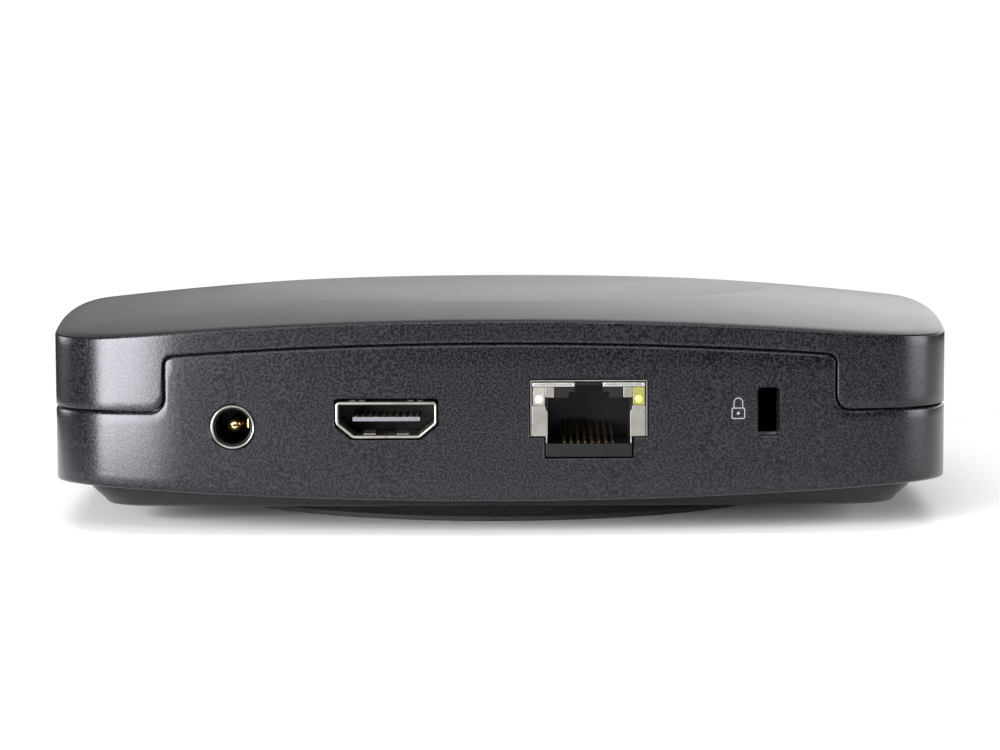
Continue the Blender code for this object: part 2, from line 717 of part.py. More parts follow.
def build_dc_jack(materials):
    """Round power inlet: a metal ring in the panel, a black body, its pin and side contact."""
    centre = (DC_X, 0, DC_Z)
    ring_back = DC_FRONT + 2.4 * MM
    ring = [(DC_RING_RADIUS, DC_FRONT + 0.2 * MM), (DC_RING_RADIUS, ring_back)]
    metal = turned("dc_jack_ring", ring, centre, axis="y", material=materials["nickel"])
    bore = [(DC_BORE_RADIUS, DC_FRONT - MM), (DC_BORE_RADIUS, ring_back + MM)]
    cut(metal, turned("ring_bore", bore, centre, axis="y"))

    nose_front = ring_back + GAP
    body_front = -62.4 * MM
    body_back = -51.0 * MM
    half_width = 4.5 * MM
    low = (DC_X - half_width, body_front, DC_Z - 5.3 * MM)
    high = (DC_X + half_width, body_back, DC_Z + 5.3 * MM)
    body = box("dc_jack_housing", low, high, materials["socket_black"])
    nose = [(DC_RING_RADIUS, nose_front), (DC_RING_RADIUS, body_front + MM)]
    join(body, turned("jack_nose", nose, centre, axis="y"))
    floor = -54.5 * MM
    pin_hole = DC_PIN_RADIUS + SEAT
    inside = [(DC_BORE_RADIUS, nose_front - MM), (DC_BORE_RADIUS, floor)]
    inside += [(pin_hole, floor), (pin_hole, floor + 2 * MM)]
    cut(body, turned("jack_inside", inside, centre, axis="y"))

    tip = DC_FRONT + 2.6 * MM
    pin = [(0.45 * MM, tip), (DC_PIN_RADIUS, tip + 0.7 * MM), (DC_PIN_RADIUS, floor + 1.8 * MM)]
    turned("dc_jack_pin", pin, centre, axis="y", steps=20, material=materials["gold"])
    leaf_low = (DC_X + 1.7 * MM, tip + 0.6 * MM, DC_Z - 0.9 * MM)
    leaf_high = (DC_X + 2.0 * MM, floor - SEAT, DC_Z + 0.9 * MM)
    box("dc_jack_contact", leaf_low, leaf_high, materials["gold"])


def build_hdmi(materials):
    """Video socket: a drawn steel shell and a contact tongue on its back block."""
    back = PANEL_FRONT + HDMI_DEPTH
    shell = prism("hdmi_shell", hdmi_outline(0.0), PANEL_FRONT, back, axis="y", material=materials["nickel"])
    cut(shell, prism("hdmi_inside", hdmi_outline(-HDMI_WALL), PANEL_FRONT - MM, back - HDMI_WALL, axis="y"))
    block_front = back - 2.5 * MM
    block = prism(
        "hdmi_tongue",
        hdmi_outline(-HDMI_WALL - SEAT),
        block_front,
        back - HDMI_WALL - SEAT,
        axis="y",
        material=materials["socket_black"],
    )
    low = (HDMI_X - 5 * MM, PANEL_FRONT + MM, HDMI_Z - 0.25 * MM)
    high = (HDMI_X + 5 * MM, block_front + MM, HDMI_Z + 0.4 * MM)
    join(block, box("hdmi_blade", low, high))


def ethernet_opening(half_width, grow):
    """Outline of the plug opening: the plug's body below, the latch's channel above."""
    shoulder = LATCH_HALF_WIDTH + grow
    channel = 2.07 * MM
    corners = [
        (-half_width, PLUG_FLOOR),
        (half_width, PLUG_FLOOR),
        (half_width, PLUG_ROOF),
        (shoulder, PLUG_ROOF),
        (shoulder, LATCH_ROOF + grow),
        (channel, LATCH_ROOF + grow),
        (channel, ETHERNET_TOP - 2 * ETHERNET_SHEET),
    ]
    corners += [(-x, z) for x, z in reversed(corners[2:])]
    return [(ETHERNET_X + x, z) for x, z in corners]


def build_ethernet(materials):
    """Network socket: a folded shield over a black housing, two lights and eight contacts."""
    back = PANEL_FRONT + ETHERNET_DEPTH
    wide = ETHERNET_HALF_WIDTH
    sheet = ETHERNET_SHEET
    low = (ETHERNET_X - wide, PANEL_FRONT, ETHERNET_SIDE_FOOT)
    high = (ETHERNET_X + wide, back, ETHERNET_TOP)
    shield = box("ethernet_shield", low, high, materials["nickel"])
    hollow_low = (ETHERNET_X - wide + sheet, PANEL_FRONT + sheet, ETHERNET_SIDE_FOOT - MM)
    hollow_high = (ETHERNET_X + wide - sheet, back - sheet, ETHERNET_TOP - sheet)
    cut(shield, box("shield_hollow", hollow_low, hollow_high))
    mouth = ethernet_opening(PLUG_HALF_WIDTH, 2.1 * MM)
    past_front = (PANEL_FRONT - MM, PANEL_FRONT + 1.5 * sheet)
    cut(shield, prism("shield_mouth", mouth, *past_front, axis="y"))

    housing_front = PANEL_FRONT + sheet + SEAT
    housing_back = back - sheet - SEAT
    chin = ETHERNET_CHIN_HALF_WIDTH
    half = wide - sheet - SEAT
    step = BOARD_TOP + GAP
    roof = ETHERNET_TOP - sheet - SEAT
    corners = [(-chin, ETHERNET_BOTTOM), (chin, ETHERNET_BOTTOM), (chin, step), (half, step)]
    corners += [(-x, z) for x, z in reversed(corners)]
    corners[4:4] = [(half, roof), (-half, roof)]
    section = [(ETHERNET_X + x, z) for x, z in corners]
    housing = prism("ethernet_housing", section, housing_front, housing_back, "y", materials["socket_black"])
    chin_low = (ETHERNET_X - chin, PANEL_FRONT, ETHERNET_BOTTOM)
    chin_high = (ETHERNET_X + chin, housing_front + MM, PLUG_FLOOR)
    join(housing, box("ethernet_chin", chin_low, chin_high))
    opening = ethernet_opening(PLUG_HALF_WIDTH, 0.0)
    cut(housing, prism("plug_space", opening, PANEL_FRONT - MM, PANEL_FRONT + PLUG_DEPTH, axis="y"))

    lamp_depth = 6 * MM
    lamp_inner = 6.45 * MM
    lamp_outer = wide - sheet - SEAT
    lamp_low_z = 19.3 * MM
    lamp_high_z = 22.0 * MM
    for name, side in (("ethernet_led_left", -1), ("ethernet_led_right", 1)):
        x_low, x_high = sorted((ETHERNET_X + side * lamp_inner, ETHERNET_X + side * lamp_outer))
        lamp_low = (x_low, PANEL_FRONT + SEAT, lamp_low_z)
        lamp_high = (x_high, PANEL_FRONT + lamp_depth, lamp_high_z)
        box(name, lamp_low, lamp_high, materials["clear_plastic" if side < 0 else "green_plastic"])
        x_low, x_high = x_low - SEAT, x_high + SEAT
        window_low = (x_low, PANEL_FRONT - MM, lamp_low_z - SEAT)
        window_high = (x_high, PANEL_FRONT + 1.2 * sheet, lamp_high_z + SEAT)
        cut(shield, box(name + "_window", window_low, window_high))
        x_low, x_high = x_low - 0.5 * MM * (side < 0), x_high + 0.5 * MM * (side > 0)
        channel_low = (x_low, PANEL_FRONT - MM, lamp_low_z - SEAT)
        channel_high = (x_high, PANEL_FRONT + lamp_depth + SEAT, lamp_high_z + SEAT)
        cut(housing, box(name + "_channel", channel_low, channel_high))

    first = ETHERNET_X - CONTACT_PITCH * (CONTACT_COUNT - 1) / 2
    for number in range(CONTACT_COUNT):
        build_contact(f"ethernet_contact_{number + 1}", first + number * CONTACT_PITCH, materials["gold"])


def build_contact(name, x, material):
    """A contact wire: flat near the mouth of the socket, then rising towards its back."""
    half = 0.23 * MM
    thick = 0.3 * MM
    low = PLUG_FLOOR + SOCKET_GAP
    route = [
        (PANEL_FRONT + 1.2 * MM, low),
        (PANEL_FRONT + 2.4 * MM, low),
        (PANEL_FRONT + 11.4 * MM, low + 1.7 * MM),
        (PANEL_FRONT + 12.7 * MM, low + 1.7 * MM),
    ]
    outline = route + [(y, z + thick) for y, z in reversed(route)]
    prism(name, outline, x - half, x + half, axis="x", material=material)


def build_lock_plate(material):
    """Steel plate behind the lock slot, which takes the pull of a security cable."""
    half = 6 * MM
    low = (LOCK_X - half, -62.4 * MM, BOARD_TOP + GAP)
    high = (LOCK_X + half, -61.4 * MM, LOCK_Z + 7 * MM)
    plate = box("lock_plate", low, high, material)
    slot_low = (LOCK_X - LOCK_WIDTH / 2, -64 * MM, LOCK_Z - LOCK_HEIGHT / 2 + GAP)
    slot_high = (LOCK_X + LOCK_WIDTH / 2, -60 * MM, LOCK_Z + LOCK_HEIGHT / 2)
    cut(plate, box("lock_plate_slot", slot_low, slot_high))


# ---------------------------------------------------------------- front controls


def build_power_button(materials):
    """A round push button in the front wall, and the small switch that it presses."""
    edge = 0.4 * MM
    cap_back = 62.9 * MM
    wing_back = cap_back - 1.1 * MM
    stem_end = 59.6 * MM
    centre = (BUTTON_X, 0, FRONT_Z)
    cap = [(BUTTON_RADIUS, wing_back + 0.2 * MM), (BUTTON_RADIUS, BUTTON_FACE - edge)]
    cap += [(BUTTON_RADIUS - edge, BUTTON_FACE)]
    button = turned("power_button", cap, centre, axis="y", material=materials["button"])
    wing = 5.6 * MM
    wing_half_height = 1.9 * MM
    low = (BUTTON_X - wing, wing_back, FRONT_Z - wing_half_height)
    high = (BUTTON_X + wing, cap_back, FRONT_Z + wing_half_height)
    join(button, box("button_wings", low, high))
    stem = [(1.4 * MM, stem_end), (1.4 * MM, cap_back - 0.5 * MM)]
    join(button, turned("button_stem", stem, (BUTTON_X, 0, PLUNGER_Z + 0.2 * MM), axis="y", steps=20))

    housing_front = 58.0 * MM
    low = (BUTTON_X - 3 * MM, 54 * MM, FLOOR_TOP + 2 * GAP)
    high = (BUTTON_X + 3 * MM, housing_front, BOARD_BOTTOM - GAP)
    housing = box("switch_housing", low, high, materials["socket_black"])
    hole_floor = 56.2 * MM
    bore = [(1.1 * MM, hole_floor), (1.1 * MM, housing_front + MM)]
    cut(housing, turned("switch_bore", bore, (BUTTON_X, 0, PLUNGER_Z), axis="y", steps=20))
    plunger = [(0.8 * MM, hole_floor + BUTTON_TRAVEL + GAP), (0.8 * MM, stem_end - GAP)]
    centre = (BUTTON_X, 0, PLUNGER_Z)
    turned("switch_plunger", plunger, centre, axis="y", steps=20, material=materials["white_plastic"])


def build_status_light(materials):
    """A clear rod that carries the light of a small lamp to the front wall."""
    collar = 62.9 * MM
    profile = [
        (LIGHT_RADIUS, 58.8 * MM),
        (LIGHT_RADIUS, collar - 0.8 * MM),
        (2.0 * MM, collar - 0.8 * MM),
        (2.0 * MM, collar),
        (LIGHT_RADIUS, collar),
        (LIGHT_RADIUS, 66.8 * MM),
    ]
    turned("status_light_pipe", profile, (0, 0, FRONT_Z), "y", 16, materials["clear_plastic"])
    low = (-0.8 * MM, 57.2 * MM, BOARD_BOTTOM - 1.3 * MM)
    high = (0.8 * MM, 58.4 * MM, BOARD_BOTTOM - SEAT)
    box("status_led", low, high, materials["white_plastic"])


def build_usb(materials):
    """Front USB socket: a folded steel shell around a contact tongue."""
    half_width = USB_WIDTH / 2
    half_height = USB_HEIGHT / 2
    wall = 0.35 * MM
    back = USB_FACE - USB_DEPTH
    low = (USB_X - half_width, back, FRONT_Z - half_height)
    high = (USB_X + half_width, USB_FACE, FRONT_Z + half_height)
    shell = box("usb_shell", low, high, materials["nickel"])
    hollow_low = (low[0] + wall, back + wall, low[2] + wall)
    hollow_high = (high[0] - wall, USB_FACE + MM, high[2] - wall)
    cut(shell, box("usb_hollow", hollow_low, hollow_high))
    block_low = tuple(value + SEAT for value in hollow_low)
    block_high = (hollow_high[0] - SEAT, back + 3 * MM, hollow_high[2] - SEAT)
    tongue = box("usb_tongue", block_low, block_high, materials["white_plastic"])
    blade_low = (USB_X - 5.6 * MM, back + 2 * MM, FRONT_Z + 0.2 * MM)
    blade_high = (USB_X + 5.6 * MM, USB_FACE - 1.2 * MM, FRONT_Z + 2.0 * MM)
    join(tongue, box("usb_blade", blade_low, blade_high))


# ---------------------------------------------------------------- the whole player


def build():
    for old in list(bpy.data.objects):
        bpy.data.objects.remove(old, do_unlink=True)
    materials = {
        "housing": make_material("housing_charcoal", (0.045, 0.045, 0.048), 0.55),
        "plinth": make_material("plinth_charcoal", (0.03, 0.03, 0.032), 0.5),
        "rubber": make_material("foot_rubber", (0.015, 0.015, 0.015), 0.8),
        "button": make_material("button_charcoal", (0.05, 0.05, 0.053), 0.45),
        "nickel": make_material("nickel_plate", (0.68, 0.66, 0.62), 0.3, 1.0),
        "tin_plate": make_material("tin_plate", (0.6, 0.6, 0.62), 0.35, 1.0),
        "gold": make_material("gold_plate", (0.83, 0.62, 0.3), 0.3, 1.0),
        "steel": make_material("zinc_steel", (0.55, 0.56, 0.58), 0.4, 1.0),
        "screw": make_material("black_steel", (0.08, 0.08, 0.085), 0.4, 1.0),
        "aluminium": make_material("aluminium", (0.72, 0.73, 0.74), 0.4, 1.0),
        "board_green": make_material("board_green", (0.02, 0.12, 0.06), 0.5),
        "chip_black": make_material("chip_black", (0.03, 0.03, 0.03), 0.6),
        "thermal_pad": make_material("thermal_pad", (0.35, 0.4, 0.5), 0.8),
        "cable_black": make_material("cable_black", (0.02, 0.02, 0.02), 0.5),
        "socket_black": make_material("socket_black", (0.018, 0.018, 0.018), 0.45),
        "white_plastic": make_material("white_plastic", (0.75, 0.75, 0.73), 0.5),
        "clear_plastic": make_material("clear_plastic", (0.85, 0.85, 0.82), 0.2),
        "green_plastic": make_material("green_plastic", (0.55, 0.6, 0.12), 0.2),
    }
    build_top_cover(materials["housing"])
    build_bottom_shell(materials["housing"])
    build_base_plate(materials["plinth"])
    build_rubber_foot(materials["rubber"])
    build_case_screws(materials["screw"])
    build_main_board(materials["board_green"])
    build_board_screws(materials["steel"])
    build_electronics(materials)
    build_antennas(materials)
    build_dc_jack(materials)
    build_hdmi(materials)
    build_ethernet(materials)
    build_lock_plate(materials["steel"])
    build_power_button(materials)
    build_status_light(materials)
    build_usb(materials)


build()
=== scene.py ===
"""Looks of the streaming media player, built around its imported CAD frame.

The rear socket panel faces -Y, the top +Z. Everything is in metres, in the frame's own
coordinates. The housing is rebuilt as fine, softly rounded shells on the CAD's outlines,
and the sockets get the sheet-metal, contacts and lamps that the plain solids leave out.
"""

import json
import math

import bmesh
import bpy
import numpy as np
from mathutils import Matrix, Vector


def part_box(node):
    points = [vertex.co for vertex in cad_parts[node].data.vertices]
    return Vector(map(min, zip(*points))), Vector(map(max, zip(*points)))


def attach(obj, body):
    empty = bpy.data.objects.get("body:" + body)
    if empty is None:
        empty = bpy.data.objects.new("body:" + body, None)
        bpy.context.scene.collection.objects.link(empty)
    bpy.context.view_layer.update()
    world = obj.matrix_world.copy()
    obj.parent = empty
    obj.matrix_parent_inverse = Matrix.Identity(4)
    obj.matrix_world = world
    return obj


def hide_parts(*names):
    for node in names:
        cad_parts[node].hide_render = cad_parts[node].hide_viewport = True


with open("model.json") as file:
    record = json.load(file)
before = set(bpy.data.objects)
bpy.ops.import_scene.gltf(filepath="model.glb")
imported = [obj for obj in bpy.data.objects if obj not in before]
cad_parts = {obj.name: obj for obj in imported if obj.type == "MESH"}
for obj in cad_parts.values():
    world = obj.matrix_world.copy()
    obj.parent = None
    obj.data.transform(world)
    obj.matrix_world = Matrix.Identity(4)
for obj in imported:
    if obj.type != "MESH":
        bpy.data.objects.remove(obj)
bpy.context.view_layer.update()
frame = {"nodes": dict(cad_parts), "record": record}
ROOT = "player"
MM = 0.001

# ---------------------------------------------------------------- sizes shared with the CAD

REAR_BULGE = 935.0 * MM
SIDE_BULGE = 451.0 * MM
EASE_START = 46.0 * MM
EASE_RADIUS = 60.0 * MM
CORNER_RADIUS = 14.5 * MM
HALF_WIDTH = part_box("top_cover")[1].x
HALF_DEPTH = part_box("top_cover")[1].y

DOME_HEIGHT = 35.35 * MM
DOME_RADIUS = 618.0 * MM
DISH_RADIUS = 45.5 * MM
DISH_DEPTH = 1.6 * MM
ARCH_HEIGHT = 2.4 * MM
ARCH_RADIUS = 777.0 * MM

PARTING = 18.45 * MM
PARTING_GAP = 0.22 * MM
PANEL_HALF_WIDTH = 49.45 * MM
PANEL_BELOW_CREASE = 3.24 * MM
PANEL_TOP_CORNER = 1.6 * MM
PANEL_FOOT_CORNER = 2.0 * MM
PANEL_REACH = 54.5 * MM

COVER_WALL = 2.0 * MM
LIP_INSET = 2.3 * MM
LIP_HEIGHT = 0.9 * MM
SHELL_WALL = 3.3 * MM
FLOOR_TOP = 9.0 * MM
FLOOR_BOTTOM = 7.2 * MM

PLINTH_RECESS_INSET = 8.1 * MM
PLINTH_TOP_INSET = 8.4 * MM
PLINTH_BOTTOM_INSET = 13.0 * MM
PLINTH_CORNER = 6.0 * MM
PLINTH_TOP_SPREAD = 1.05
PLINTH_BOTTOM_SPREAD = 1.11
PLINTH_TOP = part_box("base_plate")[1].z
PLINTH_BOTTOM = 2.7 * MM
PLINTH_FLOOR = 4.7 * MM
PEDESTAL_RADIUS = 52.0 * MM
PEDESTAL_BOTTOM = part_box("base_plate")[0].z
FOOT_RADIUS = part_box("rubber_foot")[1].x
FOOT_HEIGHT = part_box("rubber_foot")[1].z

# Softened edges of the mouldings.
CREASE_ROUND = 0.3 * MM
COVER_EDGE = 0.15 * MM
SHELL_EDGE = 0.5 * MM
WALL_FOOT_ROUND = 0.6 * MM
SHARP_ANGLE = math.radians(35.0)
COLOUR_SPREAD = 0.9
SOFT_ANGLE = math.radians(40.0)

# Stations along the rings of the housing.
PLAIN_COUNTS = (22, 26, 8, 22)
FLAT_STATIONS = 3
BEND_STATIONS = 8
EDGE_STATIONS = 7
CROWN_STATIONS = 48

# Rear sockets and front controls.
DC_X, DC_Z = -39.3 * MM, 16.2 * MM
DC_RING_RADIUS = 3.31 * MM
DC_BORE_RADIUS = 2.75 * MM
HDMI_X, HDMI_Z = -16.7 * MM, 17.2 * MM
HDMI_HALF_WIDTH, HDMI_HALF_HEIGHT = 7.45 * MM, 2.7 * MM
ETHERNET_X = 13.0 * MM
ETHERNET_TOP, ETHERNET_BOTTOM = 23.0 * MM, 11.7 * MM
ETHERNET_STEP = 14.75 * MM
ETHERNET_HALF_WIDTH = 8.55 * MM
ETHERNET_CHIN_HALF_WIDTH = 6.35 * MM
LOCK_X, LOCK_Z = 39.4 * MM, 18.2 * MM
LOCK_HALF_WIDTH, LOCK_HALF_HEIGHT = 1.6 * MM, 3.55 * MM
PANEL_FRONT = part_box("ethernet_shield")[0].y
BUTTON_RADIUS = 3.8 * MM
SIDES = (("left", -1), ("right", 1))

# Camera, floor and light.
CAMERA_DISTANCE = 385.5 * MM
CAMERA_HEIGHT = 55.0 * MM
CAMERA_PITCH = 4.62
CAMERA_ROLL = 0.20
LENS = 95.3
FLOOR_RADIUS = 0.32
FLOOR_X = 0.165
BACKDROP = 1.05
AMBIENT = 0.02
GLOW = 3.1
GLOW_BY_HEIGHT = ((0.0, 0.0), (0.15, 1.0), (0.3, 0.33), (0.5, 0.0))
GLOW_ON_LEFT = 0.03


# ---------------------------------------------------------------- plan outlines


EASE_LEAN = math.asin(EASE_START / REAR_BULGE)
EASE_X = (REAR_BULGE - EASE_RADIUS) * math.sin(EASE_LEAN)
EASE_Y = HALF_DEPTH - REAR_BULGE + (REAR_BULGE - EASE_RADIUS) * math.cos(EASE_LEAN)


def quarter_arcs(inset, corner):
    """The four arcs of a quarter of the plan: (centre x, centre y, radius, start, end)."""
    side_x = HALF_WIDTH - SIDE_BULGE
    side_reach = SIDE_BULGE - inset - corner
    ease_reach = EASE_RADIUS - inset - corner
    span = math.hypot(EASE_X - side_x, EASE_Y)
    unit_x = (EASE_X - side_x) / span
    unit_y = EASE_Y / span
    along = (side_reach**2 - ease_reach**2 + span**2) / (2 * span)
    across = math.sqrt(side_reach**2 - along**2)
    corner_x = side_x + along * unit_x - across * unit_y
    corner_y = along * unit_y + across * unit_x
    side_end = math.atan2(corner_y, corner_x - side_x)
    corner_end = math.atan2(corner_y - EASE_Y, corner_x - EASE_X)
    ease_end = math.pi / 2 - EASE_LEAN
    return [
        (side_x, 0.0, SIDE_BULGE - inset, 0.0, side_end),
        (corner_x, corner_y, corner, side_end, corner_end),
        (EASE_X, EASE_Y, EASE_RADIUS - inset, corner_end, ease_end),
        (0.0, HALF_DEPTH - REAR_BULGE, REAR_BULGE - inset, ease_end, math.pi / 2),
    ]


class Plan:
    """A rounded-square outline, widened by spread, looked up by direction from the middle."""

    def __init__(self, inset, corner, spread=1.0):
        points = []
        for x, y, radius, start, end in quarter_arcs(inset, corner):
            for angle in np.linspace(start, end, 200):
                points.append((spread * (x + radius * math.cos(angle)), y + radius * math.sin(angle)))
        quarter = np.array(points)
        self.angles = np.arctan2(quarter[:, 1], quarter[:, 0])
        self.radii = np.hypot(quarter[:, 0], quarter[:, 1])

    def at(self, angles):
        folded = np.abs(np.arctan2(np.sin(angles), np.cos(angles)))
        folded = np.minimum(folded, math.pi - folded)
        radius = np.interp(folded, self.angles, self.radii)
        return np.stack([radius * np.cos(angles), radius * np.sin(angles)], axis=1)


def dome(points):
    return DOME_HEIGHT - (points**2).sum(axis=1) / (2 * DOME_RADIUS)


def arch(points):
    return ARCH_HEIGHT + (points**2).sum(axis=1) / (2 * ARCH_RADIUS)


def lift(points, height):
    """Plan points with a height, which is one number or one for each point."""
    return np.column_stack([points, np.broadcast_to(height, len(points))])


def rear_point(x, inset):
    """A point of the rear face, given by its place along the face, moved inwards by inset."""
    x = np.asarray(x, float)
    eased = np.abs(x) > EASE_START
    centre_x = np.where(eased, EASE_X * np.sign(x), 0.0)
    centre_y = np.where(eased, EASE_Y, HALF_DEPTH - REAR_BULGE)
    radius = np.where(eased, EASE_RADIUS, REAR_BULGE)
    lean = np.arcsin((x - centre_x) / radius)
    reach = radius - inset
    return np.column_stack([centre_x + reach * np.sin(lean), -centre_y - reach * np.cos(lean)])


def rear_face(x):
    """Distance of the rear face from the middle, at x."""
    return -rear_point(x, 0.0)[:, 1]


def crease_height(x):
    return dome(rear_point(x, 0.0))


# ---------------------------------------------------------------- rings that follow the parting line


def plain_stations():
    """Arc stations round the housing from the panel's right end, by the front, to its left end."""
    quarter = []
    for (x, y, radius, start, end), count in zip(quarter_arcs(0.0, CORNER_RADIUS), PLAIN_COUNTS):
        for step in range(count):
            quarter.append((x, y, radius, start + (end - start) * step / count))
    middle = (0.0, HALF_DEPTH - REAR_BULGE, REAR_BULGE, math.pi / 2)
    front = quarter + [middle] + [(-x, y, r, math.pi - a) for x, y, r, a in reversed(quarter[1:])]
    corner = quarter[: sum(PLAIN_COUNTS[:2]) + 1]
    right = [(x, -y, r, -a) for x, y, r, a in reversed(corner[1:])]
    left = [(-x, -y, r, math.pi + a) for x, y, r, a in corner]
    return right + front + left


PLAIN = np.array(plain_stations())


def plain_ring(inset):
    reach = PLAIN[:, 2] - inset
    x = PLAIN[:, 0] + reach * np.cos(PLAIN[:, 3])
    y = PLAIN[:, 1] + reach * np.sin(PLAIN[:, 3])
    return np.column_stack([x, y])


def panel_path(grow):
    """X and Z along the parting line over the panel, from its left end to its right end."""
    half = PANEL_HALF_WIDTH + grow
    base = PARTING + grow
    foot = PANEL_FOOT_CORNER - grow
    top = PANEL_TOP_CORNER + grow
    crown = np.linspace(-(half - top), half - top, CROWN_STATIONS + 1)
    crown_z = crease_height(crown) - PANEL_BELOW_CREASE + grow
    shoulder = crown_z[0] - top
    quarter = np.linspace(0, math.pi / 2, BEND_STATIONS + 1)[:-1]
    flat_x = np.linspace(-PANEL_REACH, -(half + foot), FLAT_STATIONS + 1)[:-1]
    foot_x = -(half + foot) + foot * np.sin(quarter)
    foot_z = base + foot * (1 - np.cos(quarter))
    edge_z = np.linspace(base + foot, shoulder, EDGE_STATIONS + 1)[:-1]
    bend_x = -(half - top) - top * np.cos(quarter)
    bend_z = shoulder + top * np.sin(quarter)
    left_x = np.concatenate([flat_x, foot_x, np.full(EDGE_STATIONS, -half), bend_x])
    left_z = np.concatenate([np.full(FLAT_STATIONS, base), foot_z, edge_z, bend_z])
    x = np.concatenate([left_x, crown, -left_x[::-1]])
    z = np.concatenate([left_z, crown_z, left_z[::-1]])
    return x, z


def spread(foot_start, edge_start, bend_start, crown_start):
    """X along a plain edge for the same stations as panel_path, so that rows never cross."""
    left = np.concatenate(
        [
            np.linspace(-PANEL_REACH, -foot_start, FLAT_STATIONS + 1)[:-1],
            np.linspace(-foot_start, -edge_start, BEND_STATIONS + 1)[:-1],
            np.linspace(-edge_start, -bend_start, EDGE_STATIONS + 1)[:-1],
            np.linspace(-bend_start, -crown_start, BEND_STATIONS + 1)[:-1],
        ]
    )
    crown = np.linspace(-crown_start, crown_start, CROWN_STATIONS + 1)
    return np.concatenate([left, crown, -left[::-1]])


SHELL_SPREAD = spread(50.5 * MM, 48.6 * MM, 46.5 * MM, 45.5 * MM)
COVER_SPREAD = spread(53.2 * MM, 51.6 * MM, 49.4 * MM, 48.0 * MM)


def closed_ring(inset, panel_x):
    """Plan points all round: the panel's stations, then the plain ones."""
    return np.vstack([rear_point(panel_x, inset), plain_ring(inset)])


def parting_ring(inset, grow):
    """A ring along the parting line, moved inwards by inset and up by grow."""
    x, z = panel_path(grow)
    heights = np.concatenate([z, np.full(len(PLAIN), PARTING + grow)])
    return lift(closed_ring(inset, x), heights)


def between(first, second, share, panel_first, panel_second):
    """A wall ring part of the way between two rings, kept on the housing's outer face."""
    panel_x = panel_first + (panel_second - panel_first) * share
    heights = first[:, 2] + (second[:, 2] - first[:, 2]) * share
    return lift(closed_ring(0.0, panel_x), heights)


# ---------------------------------------------------------------- mesh helpers


def link(name, mesh, material=None):
    mesh.shade_smooth()
    mesh.set_sharp_from_angle(angle=SHARP_ANGLE)
    thing = bpy.data.objects.new(name, mesh)
    bpy.context.scene.collection.objects.link(thing)
    if material:
        mesh.materials.append(material)
    return thing


def mesh_from(name, vertices, faces):
    mesh = bpy.data.meshes.new(name)
    mesh.from_pydata([tuple(v) for v in vertices], [], faces)
    shape = bmesh.new()
    shape.from_mesh(mesh)
    bmesh.ops.recalc_face_normals(shape, faces=shape.faces)
    shape.to_mesh(mesh)
    shape.free()
    return mesh


def band_faces(count, levels, closed=False):
    """Four-sided faces between neighbouring rings of count points."""
    faces = []
    for level in range(levels if closed else levels - 1):
        low = level * count
        high = (level + 1) % levels * count
        for index in range(count):
            after = (index + 1) % count
            faces.append((low + index, low + after, high + after, high + index))
    return faces


def loft(name, rings, start=None, end=None):
    """Joins rings of equal length; an end is closed by a fan to a point, or by a flat face."""
    count = len(rings[0])
    vertices = [point for one in rings for point in one]
    faces = band_faces(count, len(rings))
    for tip, offset in ((start, 0), (end, (len(rings) - 1) * count)):
        if tip is None:
            faces.append(tuple(range(offset, offset + count)))
            continue
        vertices.append(tip)
        for index in range(count):
            faces.append((offset + index, offset + (index + 1) % count, len(vertices) - 1))
    return link(name, mesh_from(name, vertices, faces))


def loft_loop(name, rings):
    """Rings joined in a closed loop, as in a tube's wall."""
    vertices = [point for one in rings for point in one]
    return link(name, mesh_from(name, vertices, band_faces(len(rings[0]), len(rings), True)))


def prism(name, outline, low, high, axis="y"):
    """A flat outline pushed along one axis."""
    turn = {
        "x": lambda u, v, w: (w, u, v),
        "y": lambda u, v, w: (u, w, v),
        "z": lambda u, v, w: (u, v, w),
    }[axis]
    return loft(name, [[turn(u, v, w) for u, v in outline] for w in (low, high)])


def about(middle, half):
    """The two ends of a span, by its middle."""
    return middle - half, middle + half


def mirrored(middle, side, inner, outer):
    """The two ends of a span that lies inner to outer from the middle, on one side of it."""
    return sorted((middle + side * inner, middle + side * outer))


def shifted(pairs, first=0.0, second=0.0):
    """Pairs given in millimetres, moved by (first, second)."""
    return [(first + u * MM, second + v * MM) for u, v in pairs]


def centre_of(node):
    low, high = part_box(node)
    return [(a + b) / 2 for a, b in zip(low, high)]


def rectangle(first, second):
    """The outline of two spans."""
    (left, right), (low, high) = first, second
    return [(left, low), (right, low), (right, high), (left, high)]


def block(name, x, y, z):
    """A box given by its span on each axis."""
    return prism(name, rectangle(x, y), *z, "z")


def turned(name, profile, centre, axis="y", steps=64):
    """A solid of revolution; the profile is (radius, distance along the axis) pairs."""
    angles = np.linspace(0, 2 * math.pi, steps, endpoint=False) + math.pi / steps
    rings = []
    for radius, along in profile:
        u = radius * np.cos(angles)
        v = radius * np.sin(angles)
        w = np.full(steps, along)
        columns = (centre[0] + u, centre[1] + w, centre[2] + v)
        if axis == "z":
            columns = (centre[0] + u, centre[1] + v, centre[2] + w)
        rings.append(np.column_stack(columns))
    return loft(name, rings)


def settle(thing):
    """Replaces an object's mesh by what its modifiers make of it."""
    graph = bpy.context.evaluated_depsgraph_get()
    mesh = bpy.data.meshes.new_from_object(thing.evaluated_get(graph))
    thing.modifiers.clear()
    thing.data = mesh
    mesh.shade_smooth()
    mesh.set_sharp_from_angle(angle=SHARP_ANGLE)


def combine(target, tools, operation):
    for tool in tools:
        modifier = target.modifiers.new(tool.name, "BOOLEAN")
        modifier.operation = operation
        modifier.solver = "EXACT"
        modifier.object = tool
    settle(target)
    for tool in tools:
        bpy.data.objects.remove(tool, do_unlink=True)


def cut(target, *tools):
    combine(target, tools, "DIFFERENCE")


def join(target, *tools):
    combine(target, tools, "UNION")


